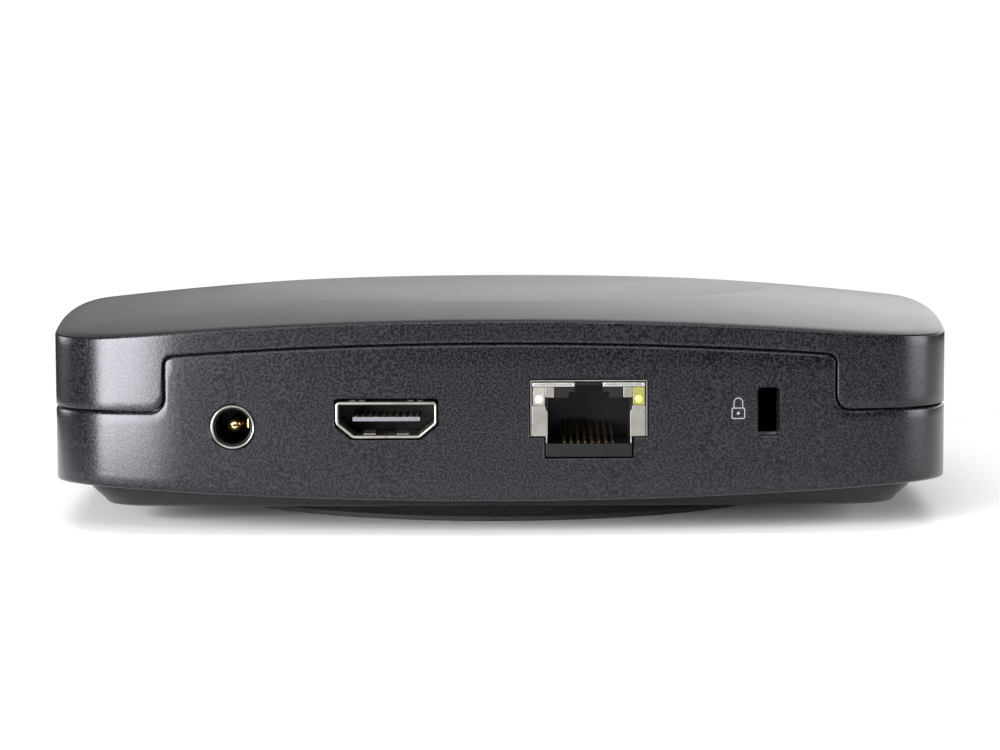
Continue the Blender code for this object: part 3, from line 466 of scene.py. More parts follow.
def soften(thing, width, segments=2):
    """Rounds an object's sharp edges."""
    modifier = thing.modifiers.new("soft_edges", "BEVEL")
    modifier.width = width
    modifier.segments = segments
    modifier.limit_method = "ANGLE"
    modifier.angle_limit = SOFT_ANGLE
    modifier.harden_normals = True
    return thing


def place(thing, slot, *nodes, body=ROOT, look=None):
    """Finishes a piece and rides it on its body, with its slot and what it stands for."""
    thing.data.materials.clear()
    thing.data.materials.append(look or MATERIALS[slot])
    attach(thing, body)
    if nodes:
        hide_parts(*nodes)


# ---------------------------------------------------------------- materials


class Nodes:
    """A short way to write the nodes of a material or a world."""

    def __init__(self, owner, shader="Principled BSDF"):
        self.owner = owner
        self.owner.use_nodes = True
        self.tree = self.owner.node_tree
        self.shader = self.tree.nodes[shader]
        self.coordinates = self.add("ShaderNodeTexCoord").outputs

    def fill(self, socket, value):
        if isinstance(value, bpy.types.NodeSocket):
            self.tree.links.new(value, socket)
        else:
            socket.default_value = value

    def add(self, kind, **inputs):
        node = self.tree.nodes.new(kind)
        for name, value in inputs.items():
            self.fill(node.inputs[name.replace("_", " ")], value)
        return node

    def set(self, name, value):
        self.fill(self.shader.inputs[name], value)

    def noise(self, size, detail=2.0, roughness=0.5, stretch=None):
        vector = self.coordinates["Object"]
        if stretch:
            vector = self.add("ShaderNodeMapping", Vector=vector, Scale=stretch).outputs[0]
        node = self.add(
            "ShaderNodeTexNoise", Vector=vector, Scale=1 / size, Detail=detail, Roughness=roughness
        )
        return node.outputs["Fac"]

    def ramp(self, factor, low, high, low_at=0.3, high_at=0.7):
        limits = {"From_Min": low_at, "From_Max": high_at, "To_Min": low, "To_Max": high}
        return self.add("ShaderNodeMapRange", Value=factor, **limits).outputs["Result"]

    def mix(self, factor, low, high):
        node = self.tree.nodes.new("ShaderNodeMix")
        node.data_type = "RGBA"
        self.tree.links.new(factor, node.inputs["Factor"])
        node.inputs["A"].default_value = (*low, 1.0)
        node.inputs["B"].default_value = (*high, 1.0)
        return node.outputs["Result"]

    def product(self, first, second):
        node = self.tree.nodes.new("ShaderNodeMath")
        node.operation = "MULTIPLY"
        self.tree.links.new(first, node.inputs[0])
        self.tree.links.new(second, node.inputs[1])
        return node.outputs[0]

    def bump(self, height, depth, strength=1.0):
        node = self.add("ShaderNodeBump", Height=height, Distance=depth, Strength=strength)
        self.set("Normal", node.outputs["Normal"])


def moulded_plastic(name, colour, roughness, grain, depth):
    """Spark-textured moulded plastic: a fine pebble, with faint mottling of colour and gloss."""
    made = Nodes(bpy.data.materials.new(name))
    pebble = made.noise(grain, 3.0, 0.6)
    darker = tuple(c * (1 - COLOUR_SPREAD) for c in colour)
    lighter = tuple(c * (1 + COLOUR_SPREAD) for c in colour)
    made.set("Base Color", made.mix(made.ramp(pebble, 0.0, 1.0, 0.42, 0.58), darker, lighter))
    made.set("Specular Tint", (0.94, 0.92, 1.0, 1.0))
    patches = made.noise(14 * MM, 3.0)
    made.set("Roughness", made.ramp(patches, roughness - 0.008, roughness + 0.008))
    made.set("IOR", 1.38)
    made.bump(pebble, depth)
    return made.owner


def plated_metal(name, colour, roughness, grain=0.12 * MM, depth=0.002 * MM, stretch=(1, 1, 1)):
    """Plated or rolled metal, with a fine grain and faint tarnish."""
    made = Nodes(bpy.data.materials.new(name))
    stain = made.noise(1.6 * MM, 4.0)
    darker = tuple(c * 0.78 for c in colour)
    made.set("Base Color", made.mix(made.ramp(stain, 0.0, 1.0), darker, colour))
    made.set("Metallic", 1.0)
    streaks = made.noise(grain, 3.0, 0.6, stretch)
    made.set("Roughness", made.ramp(streaks, roughness - 0.08, roughness + 0.08))
    made.bump(streaks, depth)
    return made.owner


def smooth_plastic(name, colour, roughness, subsurface=0.0, ior=1.5):
    """Plain moulded plastic with a light waviness and dust-fine specks."""
    made = Nodes(bpy.data.materials.new(name))
    specks = made.noise(0.15 * MM, 2.0)
    darker = tuple(c * 0.9 for c in colour)
    made.set("Base Color", made.mix(made.ramp(specks, 0.0, 1.0), darker, colour))
    made.set("Roughness", made.ramp(made.noise(3 * MM), roughness - 0.04, roughness + 0.04))
    made.set("Subsurface Weight", subsurface)
    made.shader.inputs["Subsurface Radius"].default_value = (1 * MM, 1 * MM, 0.8 * MM)
    made.set("IOR", ior)
    made.bump(specks, 0.004 * MM)
    return made.owner


def rubber(name, colour):
    made = Nodes(bpy.data.materials.new(name))
    dust = made.noise(0.9 * MM, 4.0, 0.65)
    lighter = tuple(c * 1.8 for c in colour)
    made.set("Base Color", made.mix(made.ramp(dust, 0.0, 1.0), colour, lighter))
    made.set("Roughness", made.ramp(dust, 0.68, 0.85))
    made.bump(made.noise(0.3 * MM, 2.0), 0.012 * MM)
    return made.owner


def circuit_board(name):
    """Green solder mask with faint copper tracks under it."""
    made = Nodes(bpy.data.materials.new(name))
    tracks = made.add("ShaderNodeTexBrick", Vector=made.coordinates["Object"], Scale=170.0)
    tracks.inputs["Color1"].default_value = (0.012, 0.10, 0.045, 1)
    tracks.inputs["Color2"].default_value = (0.016, 0.12, 0.055, 1)
    tracks.inputs["Mortar"].default_value = (0.03, 0.20, 0.09, 1)
    tracks.inputs["Mortar Size"].default_value = 0.03
    made.set("Base Color", tracks.outputs["Color"])
    made.set("Roughness", made.ramp(made.noise(2 * MM), 0.3, 0.42))
    made.bump(tracks.outputs["Fac"], 0.02 * MM, 0.6)
    return made.owner


MATERIALS = {
    "housing": moulded_plastic(
        "housing_charcoal", (0.0064, 0.0062, 0.0080), 0.24, 0.34 * MM, 0.016 * MM
    ),
    "plinth": moulded_plastic("plinth_charcoal", (0.008, 0.008, 0.009), 0.30, 0.25 * MM, 0.008 * MM),
    "button": moulded_plastic("button_charcoal", (0.010, 0.010, 0.0115), 0.34, 0.18 * MM, 0.008 * MM),
    "rubber": rubber("foot_rubber", (0.012, 0.012, 0.012)),
    "nickel": plated_metal("nickel_plate", (0.31, 0.295, 0.27), 0.36, 0.2 * MM),
    "tin_plate": plated_metal("tin_plate", (0.72, 0.72, 0.73), 0.36, 0.3 * MM),
    "gold": plated_metal("gold_plate", (0.90, 0.66, 0.32), 0.24, 0.1 * MM),
    "steel": plated_metal("zinc_steel", (0.62, 0.63, 0.66), 0.34, 0.2 * MM),
    "screw": plated_metal("black_steel", (0.09, 0.09, 0.095), 0.36, 0.2 * MM),
    "aluminium": plated_metal(
        "aluminium", (0.78, 0.79, 0.80), 0.38, 0.25 * MM, 0.003 * MM, (1, 0.08, 1)
    ),
    "board": circuit_board("board_green"),
    "chip": smooth_plastic("chip_epoxy", (0.028, 0.028, 0.030), 0.55),
    "pad": rubber("thermal_pad", (0.30, 0.35, 0.45)),
    "cable": smooth_plastic("cable_jacket", (0.02, 0.02, 0.022), 0.45),
    "socket": smooth_plastic("socket_nylon", (0.004, 0.004, 0.0045), 0.36, ior=1.32),
    "white": smooth_plastic("white_nylon", (0.74, 0.74, 0.71), 0.45, subsurface=0.1),
    "clear": smooth_plastic("clear_light_guide", (0.19, 0.175, 0.155), 0.3, subsurface=0.3),
    "green": smooth_plastic("green_light_guide", (0.17, 0.165, 0.04), 0.3, subsurface=0.3),
}

BLADE_EDGE = smooth_plastic("blade_edge", (0.10, 0.105, 0.12), 0.4)
SHIELD_STRIP = plated_metal("shield_strip", (0.60, 0.59, 0.57), 0.3)
SYMBOL = smooth_plastic("symbol_ink", (0.16, 0.16, 0.17), 0.5)
LENSES = {
    "clear": smooth_plastic("clear_lens", (0.72, 0.71, 0.68), 0.12, subsurface=0.3),
    "green": smooth_plastic("green_lens", (0.40, 0.41, 0.11), 0.15, subsurface=0.3),
}


def finish_cad_nodes():
    """Gives every CAD node the finish of its slot."""
    slots = {row["node"]: row["material_slot"] for row in frame["record"]["subparts"]}
    for name, node in frame["nodes"].items():
        node.data.materials.clear()
        node.data.materials.append(MATERIALS[slots[name]])


# ---------------------------------------------------------------- housing


def rounding(radius, steps=4):
    """(inwards, downwards) pairs that turn from a level face to an upright one."""
    angles = np.linspace(0, math.pi / 2, steps + 1)
    return [(radius * (1 - math.sin(a)), radius * (1 - math.cos(a))) for a in angles]


def dish_profile(radius):
    """Height of the dish and its soft rim at a distance from the middle."""
    share = (radius / DISH_RADIUS) ** 2
    rim = DOME_HEIGHT - DISH_RADIUS**2 / (2 * DOME_RADIUS)
    return rim - DISH_DEPTH * (1 - share)


def build_top_cover():
    crease = closed_ring(0.0, COVER_SPREAD)
    angles = np.arctan2(crease[:, 1], crease[:, 0])
    unit = np.stack([np.cos(angles), np.sin(angles)], axis=1)
    rim = unit * DISH_RADIUS
    rings = []
    for share in (0.06, 0.15, 0.25, 0.35, 0.45, 0.55, 0.65, 0.75, 0.85, 0.93, 0.985):
        radius = DISH_RADIUS * share
        rings.append(lift(unit * radius, dish_profile(radius)))
    inner_edge = closed_ring(CREASE_ROUND, COVER_SPREAD)
    for share in (0.015, 0.06, 0.15, 0.3, 0.45, 0.6, 0.75, 0.9):
        points = rim + (inner_edge - rim) * share
        rings.append(lift(points, dome(points)))
    for inwards, downwards in rounding(CREASE_ROUND):
        points = closed_ring(inwards, COVER_SPREAD)
        rings.append(lift(points, dome(points) - downwards))
    top = rings[-1]
    edge = [(PARTING_GAP / 2 + i, d) for i, d in rounding(COVER_EDGE, 3)]
    path_x = panel_path(edge[0][0])[0]
    bottom = parting_ring(0.0, edge[0][0])
    for share in np.linspace(0, 1, 9)[1:-1]:
        rings.append(between(top, bottom, share, COVER_SPREAD, path_x))
    rings += [parting_ring(inwards, grow) for grow, inwards in edge]
    rings.append(parting_ring(COVER_WALL, PARTING_GAP / 2))
    inner = closed_ring(COVER_WALL, COVER_SPREAD)
    rings.append(lift(inner, dome(inner) - COVER_WALL))
    points = rim + (inner - rim) * 0.5
    rings.append(lift(points, dome(points) - COVER_WALL))
    rings.append(lift(rim, dome(rim) - COVER_WALL))
    for share in (0.7, 0.35):
        radius = DISH_RADIUS * share
        rings.append(lift(unit * radius, dish_profile(radius) - COVER_WALL))
    centre = dish_profile(0.0)
    tips = (0, 0, centre), (0, 0, centre - COVER_WALL)
    place(loft("top_cover_skin", rings, *tips), "housing", "top_cover")


def flared_hole(name, outline, flare, depth=8 * MM):
    """A tool that cuts a hole through the rear panel and breaks the hole's outer edge.

    The outline is a list of (x, z) points. The tool widens by flare as it leaves the panel,
    and follows the panel's own curve, so that the broken edge is even all round.
    """
    path = np.array(outline)
    following = np.roll(path, -1, axis=0) - path
    previous = path - np.roll(path, 1, axis=0)
    normals = []
    for back, ahead in zip(previous, following):
        first = np.array([back[1], -back[0]]) / np.linalg.norm(back)
        second = np.array([ahead[1], -ahead[0]]) / np.linalg.norm(ahead)
        bisector = first + second
        normals.append(bisector / max(bisector @ first, 1e-9))
    normals = np.array(normals)
    area = np.sum(path[:, 0] * np.roll(path[:, 1], -1) - np.roll(path[:, 0], -1) * path[:, 1])
    outward = normals if area > 0 else -normals
    rings = []
    for grow, out in ((0.0, -depth), (0.0, -flare), (flare * 1.2, flare * 0.2), (flare * 1.2, depth)):
        points = path + outward * grow
        y = -(rear_face(path[:, 0]) + out)
        rings.append(np.column_stack([points[:, 0], y, points[:, 1]]))
    return loft(name, rings)


def rounded(corners, radius, steps=5):
    """Rounds the corners of a closed (x, z) polygon. A radius is one number or one each."""
    radii = radius if isinstance(radius, (list, tuple)) else [radius] * len(corners)
    points = []
    for index, corner in enumerate(corners):
        here = np.array(corner, float)
        back = np.array(corners[index - 1], float) - here
        ahead = np.array(corners[(index + 1) % len(corners)], float) - here
        back_unit = back / np.linalg.norm(back)
        ahead_unit = ahead / np.linalg.norm(ahead)
        half = math.acos(max(-1.0, min(1.0, back_unit @ ahead_unit))) / 2
        reach = radii[index] / math.tan(half)
        if radii[index] <= 0:
            points.append(tuple(here))
            continue
        bisector = (back_unit + ahead_unit) / np.linalg.norm(back_unit + ahead_unit)
        centre = here + bisector * radii[index] / math.sin(half)
        start = here + back_unit * reach - centre
        end = here + ahead_unit * reach - centre
        turn = math.atan2(start[0] * end[1] - start[1] * end[0], start @ end)
        for step in range(steps + 1):
            angle = turn * step / steps
            cosine, sine = math.cos(angle), math.sin(angle)
            points.append(
                (
                    centre[0] + start[0] * cosine - start[1] * sine,
                    centre[1] + start[0] * sine + start[1] * cosine,
                )
            )
    return points


def circle_path(x, z, radius, steps=64):
    angles = np.linspace(0, 2 * math.pi, steps, endpoint=False) + math.pi / steps
    return [(x + radius * math.cos(a), z + radius * math.sin(a)) for a in angles]


def hdmi_corners(grow, top_extra=0.0):
    """The video socket's outline: a rectangle with two chamfered lower corners."""
    wide = HDMI_HALF_WIDTH + grow
    high = HDMI_HALF_HEIGHT + grow
    slope = grow * 0.45
    run = 2.55 * MM + slope
    rise = 2.1 * MM + slope
    return [
        (HDMI_X - wide + run, HDMI_Z - high),
        (HDMI_X + wide - run, HDMI_Z - high),
        (HDMI_X + wide, HDMI_Z - high + rise),
        (HDMI_X + wide, HDMI_Z + high + top_extra),
        (HDMI_X - wide, HDMI_Z + high + top_extra),
        (HDMI_X - wide, HDMI_Z - high + rise),
    ]


def ethernet_corners(grow):
    wide = ETHERNET_HALF_WIDTH + grow
    narrow = ETHERNET_CHIN_HALF_WIDTH + grow
    low = ETHERNET_BOTTOM - grow
    step = ETHERNET_STEP - grow
    high = ETHERNET_TOP + grow
    corners = [(-narrow, low), (narrow, low), (narrow, step), (wide, step)]
    corners += [(wide, high), (-wide, high), (-wide, step), (-narrow, step)]
    return [(ETHERNET_X + x, z) for x, z in corners]


def panel_holes():
    dc = circle_path(DC_X, DC_Z, DC_RING_RADIUS + 0.08 * MM)
    hdmi_radii = [r * MM for r in (1.0, 1.0, 0.9, 0.55, 0.55, 0.9)]
    ethernet_radii = [r * MM for r in (0.4, 0.4, 0.25, 0.3, 0.3, 0.3, 0.3, 0.25)]
    lock = rectangle(about(LOCK_X, LOCK_HALF_WIDTH), about(LOCK_Z, LOCK_HALF_HEIGHT))
    return [
        flared_hole("hole_dc", dc, 0.12 * MM),
        flared_hole("hole_hdmi", rounded(hdmi_corners(0.22 * MM, 0.25 * MM), hdmi_radii), 0.15 * MM),
        flared_hole("hole_ethernet", rounded(ethernet_corners(0.2 * MM), ethernet_radii), 0.15 * MM),
        flared_hole("hole_lock", rounded(lock, 0.5 * MM), 0.22 * MM),
    ]


def front_holes():
    """Tools for the button, the status light and the USB socket in the front wall."""
    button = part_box("power_button")
    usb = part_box("usb_shell")
    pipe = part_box("status_light_pipe")
    middle = (button[0] + button[1]) / 2
    height = (pipe[0].z + pipe[1].z) / 2
    clearance = 0.2 * MM
    outline = rectangle(
        (usb[0].x - clearance, usb[1].x + clearance), (usb[0].z - clearance, usb[1].z + clearance)
    )
    inside = 60 * MM
    outside = 70 * MM
    flare = 0.25 * MM
    tools = []
    for name, x, radius in (("hole_button", middle.x, BUTTON_RADIUS), ("hole_light", 0.0, 1.2 * MM)):
        face = float(rear_face([x])[0])
        bore = radius + clearance
        profile = [(bore, inside), (bore, face - flare), (bore + flare * 1.2, face + flare * 0.2)]
        profile.append((bore + flare * 1.2, outside))
        tools.append(turned(name, profile, (x, 0, height)))
    tools.append(prism("hole_usb", rounded(outline, 0.4 * MM), inside - 10 * MM, outside))
    return tools


def build_bottom_shell():
    inner_wall = closed_ring(SHELL_WALL, SHELL_SPREAD)
    outer = closed_ring(0.0, SHELL_SPREAD)
    angles = np.arctan2(outer[:, 1], outer[:, 0])
    recess = Plan(PLINTH_RECESS_INSET, PLINTH_CORNER, PLINTH_TOP_SPREAD).at(angles)
    edge_in = closed_ring(WALL_FOOT_ROUND, SHELL_SPREAD)
    rings = [lift(recess, FLOOR_BOTTOM), lift(recess, arch(recess) + 0.2 * MM)]
    start = recess + (edge_in - recess) * 0.03
    rings.append(lift(start, arch(start)))
    for share in (0.3, 0.6, 0.85):
        points = recess + (edge_in - recess) * share
        rings.append(lift(points, arch(points)))
    for inwards, upwards in rounding(WALL_FOOT_ROUND):
        points = closed_ring(inwards, SHELL_SPREAD)
        rings.append(lift(points, arch(points) + upwards))
    foot = rings[-1]
    edge = [(-PARTING_GAP / 2 - i, d) for i, d in rounding(SHELL_EDGE, 4)]
    path_x = panel_path(edge[0][0])[0]
    top = parting_ring(0.0, edge[0][0])
    for share in np.linspace(0, 1, 9)[1:-1]:
        rings.append(between(foot, top, share, SHELL_SPREAD, path_x))
    rings += [parting_ring(inwards, grow) for grow, inwards in edge]
    rings.append(parting_ring(LIP_INSET, -PARTING_GAP / 2))
    rings.append(parting_ring(LIP_INSET, LIP_HEIGHT))
    rings.append(parting_ring(SHELL_WALL, LIP_HEIGHT))
    rings.append(lift(inner_wall, FLOOR_TOP))
    shell = loft("bottom_shell_skin", rings, (0, 0, FLOOR_BOTTOM), (0, 0, FLOOR_TOP))
    cut(shell, *panel_holes(), *front_holes())
    place(shell, "housing", "bottom_shell")


def build_base_plate():
    angles = np.linspace(0, 2 * math.pi, 256, endpoint=False)
    unit = np.stack([np.cos(angles), np.sin(angles)], axis=1)
    recess = FOOT_RADIUS + 0.3 * MM
    recess_top = FOOT_HEIGHT + 0.3 * MM
    rings = [lift(unit * recess, recess_top), lift(unit * recess, PEDESTAL_BOTTOM + 0.15 * MM)]
    rings.append(lift(unit * (recess + 0.15 * MM), PEDESTAL_BOTTOM))
    slope = [(-0.75, 0.0), (-0.45, 0.25), (-0.1, 1.2), (0.0, 1.5), (0.35, 1.8)]
    for out, up in slope:
        rings.append(lift(unit * (PEDESTAL_RADIUS + out * MM), PEDESTAL_BOTTOM + up * MM))
    top = PLINTH_TOP - PLINTH_BOTTOM
    low_edge = [(2.2, 0.0), (1.1, 0.05), (0.4, 0.2), (-0.2, 0.55), (-0.9, 1.1)]
    side = shifted(low_edge, PLINTH_BOTTOM_INSET) + shifted([(0.7, 3.0), (0.2, 3.6)], PLINTH_TOP_INSET)
    side += [(PLINTH_TOP_INSET, top), (PLINTH_TOP_INSET + 2 * MM, top)]
    for inset, up in side:
        share = up / top
        spread_here = PLINTH_BOTTOM_SPREAD + (PLINTH_TOP_SPREAD - PLINTH_BOTTOM_SPREAD) * share
        rings.append(lift(Plan(inset, PLINTH_CORNER, spread_here).at(angles), PLINTH_BOTTOM + up))
    inner = Plan(PLINTH_BOTTOM_INSET + 2 * MM, PLINTH_CORNER - MM, PLINTH_BOTTOM_SPREAD).at(angles)
    rings.append(lift(inner, PLINTH_FLOOR))
    plate = loft("base_plate_skin", rings, (0, 0, recess_top), (0, 0, PLINTH_FLOOR))
    tools = []
    for number in range(1, 5):
        x, y, z = centre_of(f"case_screw_{number}")
        profile = shifted([(3.1, 0.0), (3.1, 2.75), (2.7, 3.15), (2.7, 4.6)])
        tools.append(turned(f"counterbore_{number}", profile, (x, y, 0), "z", 40))
    cut(plate, *tools)
    place(plate, "plinth", "base_plate")


def build_rubber_foot():
    """The foot pad: a disc with a rounded edge and a shallow round recess in the middle of its underside."""
    profile = [
        (20 * MM, 0.25 * MM),
        (20.6 * MM, 0.0),
        (FOOT_RADIUS - 0.35 * MM, 0.0),
        (FOOT_RADIUS - 0.1 * MM, 0.1 * MM),
        (FOOT_RADIUS, 0.35 * MM),
        (FOOT_RADIUS, FOOT_HEIGHT),
    ]
    place(turned("rubber_foot_skin", profile, (0, 0, 0), "z", 160), "rubber", "rubber_foot")


# ---------------------------------------------------------------- rear sockets


def tube(name, outer, inner, front, back, edge):
    """A sheet-metal tube along Y between two (x, z) outlines, with its mouth's edges eased."""
    outer = np.array(outer)
    inner = np.array(inner)
    middle = (outer + inner) / 2
    steps = [
        (outer, back),
        (outer, front + edge),
        (outer + (middle - outer) * 0.5, front + edge * 0.25),
        (middle, front),
        (inner + (middle - inner) * 0.5, front + edge * 0.25),
        (inner, front + edge),
        (inner, back),
    ]
    rings = [np.column_stack([path[:, 0], np.full(len(path), y), path[:, 1]]) for path, y in steps]
    return loft_loop(name, rings)


def build_dc_jack():
    """Power inlet: a rolled metal ring, a black bore, the split pin and its side contact."""
    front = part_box("dc_jack_ring")[0].y - 0.15 * MM
    outer = circle_path(DC_X, DC_Z, DC_RING_RADIUS)
    inner = circle_path(DC_X, DC_Z, DC_BORE_RADIUS + 0.12 * MM)
    ring = tube("dc_jack_ring_skin", outer, inner, front, front + 2.2 * MM, 0.18 * MM)
    place(ring, "nickel", "dc_jack_ring")

    bore = DC_BORE_RADIUS + 0.08 * MM
    outer = circle_path(DC_X, DC_Z, bore)
    inner = circle_path(DC_X, DC_Z, bore - 0.25 * MM)
    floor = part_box("dc_jack_housing")[1].y - 3.5 * MM
    place(tube("dc_jack_liner", outer, inner, front + 0.55 * MM, floor, 0.1 * MM), "socket")

    low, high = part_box("dc_jack_pin")
    radius = (high.x - low.x) / 2
    tip = low.y
    profile = shifted([(0.25, 0.02), (0.62, 0.16), (0.9, 0.5)], 0.0, tip)
    profile += [(radius, tip + 0.95 * MM), (radius, high.y)]
    pin = turned("dc_jack_pin_skin", profile, (DC_X, 0, DC_Z), "y", 48)
    cut(pin, block("pin_slit", about(DC_X, 2 * MM), (tip - MM, tip + 4 * MM), about(DC_Z, 0.11 * MM)))
    place(pin, "gold", "dc_jack_pin")

    x, z = DC_X + 1.75 * MM, DC_Z + 0.35 * MM
    route = shifted([(0.25, 0.35), (-0.05, 1.2), (-0.2, 2.6), (0.15, 5)], x, tip)
    route.append((x + 0.2 * MM, high.y - 0.6 * MM))
    outline = route + [(u + 0.16 * MM, v) for u, v in reversed(route)]
    leaf = prism("dc_jack_contact_skin", outline, *about(z, 0.75 * MM), "z")
    place(soften(leaf, 0.04 * MM), "gold", "dc_jack_contact")


def build_hdmi():
    """Video socket: a folded shell with a seam and springs, and the blade with its contacts."""
    front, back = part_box("hdmi_shell")[0].y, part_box("hdmi_shell")[1].y
    outer_radii = [r * MM for r in (0.95, 0.95, 0.9, 0.6, 0.6, 0.9)]
    wall = 0.4 * MM
    inner_radii = [max(r - wall, 0.12 * MM) for r in outer_radii]
    outer = rounded(hdmi_corners(0.0), outer_radii, 8)
    inner = rounded(hdmi_corners(-wall), inner_radii, 8)
    shell = tube("hdmi_shell_skin", outer, inner, front, back, 0.12 * MM)
    floor = HDMI_Z - HDMI_HALF_HEIGHT
    seam_z = (floor - MM, floor + wall + 0.2 * MM)
    cut(shell, block("hdmi_seam", about(HDMI_X, 0.05 * MM), (front - MM, front + 7 * MM), seam_z))
    place(shell, "nickel", "hdmi_shell")

    block_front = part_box("hdmi_tongue")[1].y - 2.4 * MM
    inside = rounded(hdmi_corners(-wall - 0.06 * MM), 0.3 * MM, 4)
    insulator = prism("hdmi_tongue_skin", inside, block_front, block_front + 2 * MM)
    blade_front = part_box("hdmi_tongue")[0].y
    blade_z = HDMI_Z + 0.1 * MM
    blade_y = (blade_front, block_front + 0.5 * MM)
    join(insulator, block("hdmi_blade", about(HDMI_X, 5.0 * MM), blade_y, about(blade_z, 0.36 * MM)))
    place(soften(insulator, 0.08 * MM), "socket", "hdmi_tongue")
    edge_strip = rounded(rectangle(about(HDMI_X, 4.95 * MM), about(blade_z, 0.31 * MM)), 0.12 * MM)
    strip = prism("hdmi_blade_edge", edge_strip, blade_front - 0.05 * MM, blade_front + 0.3 * MM)
    place(soften(strip, 0.04 * MM), "white", look=BLADE_EDGE)

    contact_y = (blade_front + 0.9 * MM, block_front + 0.2 * MM)
    for number in range(19):
        x = HDMI_X + (number - 9) * 0.5 * MM
        side = 1 if number % 2 == 0 else -1
        span = mirrored(blade_z + side * 0.36 * MM, side, -0.05 * MM, 0.03 * MM)
        contact = block(f"hdmi_contact_{number + 1}", about(x, 0.17 * MM), contact_y, span)
        place(soften(contact, 0.03 * MM, 1), "gold")

    for side in (-1, 1):
        for pair in (-1, 1):
            x = HDMI_X + side * 4.25 * MM + pair * 0.72 * MM
            build_spring(f"hdmi_top_spring_{side + 2}_{pair + 2}", x, front, 1, 0.42 * MM)
        x = HDMI_X + side * 2.45 * MM
        build_spring(f"hdmi_floor_spring_{side + 2}", x, front, -1, 0.9 * MM)


def build_spring(name, x, front, side, half_width):
    """A bent steel finger: above the shell (side 1), or on its floor inside (side -1)."""
    if side > 0:
        base = HDMI_Z + HDMI_HALF_HEIGHT + 0.02 * MM
        route = [(0.9, 0.0), (1.3, 0.16), (2.0, 0.3), (2.8, 0.16), (3.6, 0.0)]
    else:
        base = HDMI_Z - HDMI_HALF_HEIGHT + 0.45 * MM
        route = [(1.0, 0.05), (1.6, 0.34), (2.3, 0.52), (3.2, 0.3), (4.4, 0.05)]
    lower = shifted(route, front, base)
    outline = lower + [(y, z + 0.14 * MM) for y, z in reversed(lower)]
    finger = prism(name, outline, *about(x, half_width), "x")
    place(soften(finger, 0.03 * MM, 1), "nickel")


def build_ethernet_shield():
    """The folded tin shield: its can, and the front face with lamp windows and plug mouth."""
    low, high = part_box("ethernet_shield")
    front, back = low.y, high.y
    sheet = 0.15 * MM
    wide = ETHERNET_HALF_WIDTH
    x0 = ETHERNET_X
    can_half = [(wide, ETHERNET_STEP), (wide, ETHERNET_TOP)]
    can_half_inner = [(wide - sheet, ETHERNET_STEP), (wide - sheet, ETHERNET_TOP - sheet)]
    outline = [(x0 - x, z) for x, z in can_half] + [(x0 + x, z) for x, z in reversed(can_half)]
    outline += [(x0 + x, z) for x, z in can_half_inner]
    outline += [(x0 - x, z) for x, z in reversed(can_half_inner)]
    can = prism("ethernet_shield_skin", outline, front + 0.02 * MM, back)
    join(can, block("shield_back", (low.x, high.x), (back - sheet, back), (low.z, high.z)))
    place(soften(can, 0.07 * MM), "nickel", "ethernet_shield")

    face_front, face_back = front - 0.02 * MM, front + 0.28 * MM
    mouth = 6.05 * MM
    inner, outer, foot, head = window = (6.42 * MM, 8.22 * MM, 19.3 * MM, 22.02 * MM)
    edge = wide - 0.26 * MM
    channel = 2.07 * MM
    column_foot = ETHERNET_STEP + 0.03 * MM
    column = [(edge, column_foot), (edge, foot), (mouth + 0.3 * MM, foot)]
    column += [(mouth + 0.3 * MM, 18.75 * MM), (mouth + 0.12 * MM, 18.6 * MM)]
    column += [(mouth, 18.3 * MM), (mouth, column_foot)]
    arm = [(inner - 0.02 * MM, head - 0.02 * MM), (inner - 0.02 * MM, 20.5 * MM)]
    arm += [(5.08 * MM, 20.45 * MM), (5.08 * MM, head - 0.02 * MM)]
    strip = rectangle((channel, outer), (head + 0.05 * MM, 22.66 * MM))
    groove = head + 0.32 * MM
    for name, side in SIDES:
        for part, corners, push in (("column", column, 0.0), ("arm", arm, 0.12 * MM), ("strip", strip, 0.0)):
            outline = rounded([(x0 + side * x, z) for x, z in corners], 0.1 * MM, 3)
            piece = prism(f"ethernet_{part}_{name}", outline, face_front + push, face_back + push)
            look = None
            if part == "strip":
                look = SHIELD_STRIP
                span = mirrored(x0, side, channel + 0.35 * MM, outer - 0.35 * MM)
                depth = (face_front - MM, face_front + 0.16 * MM)
                cut(piece, block("strip_groove", span, depth, (groove, groove + 0.1 * MM)))
            place(soften(piece, 0.04 * MM), "nickel", look=look)
        depth = (face_front + 0.1 * MM, face_front + 0.6 * MM)
        span = about(x0 + side * 6.2 * MM, 0.1 * MM)
        rim = block(f"ethernet_chin_rim_{name}", span, depth, (13.7 * MM, 18.3 * MM))
        place(soften(rim, 0.05 * MM), "nickel")
        build_lamp(name, side, window, front)
    spring = shifted([(1.4, 21.1), (2.6, 20.7), (6, 20.2)], front)
    outline = spring + [(y, z + 0.15 * MM) for y, z in reversed(spring)]
    for name, side in SIDES:
        span = about(x0 + side * 3.9 * MM, 0.5 * MM)
        place(prism(f"ethernet_roof_spring_{name}", outline, *span, "x"), "nickel")


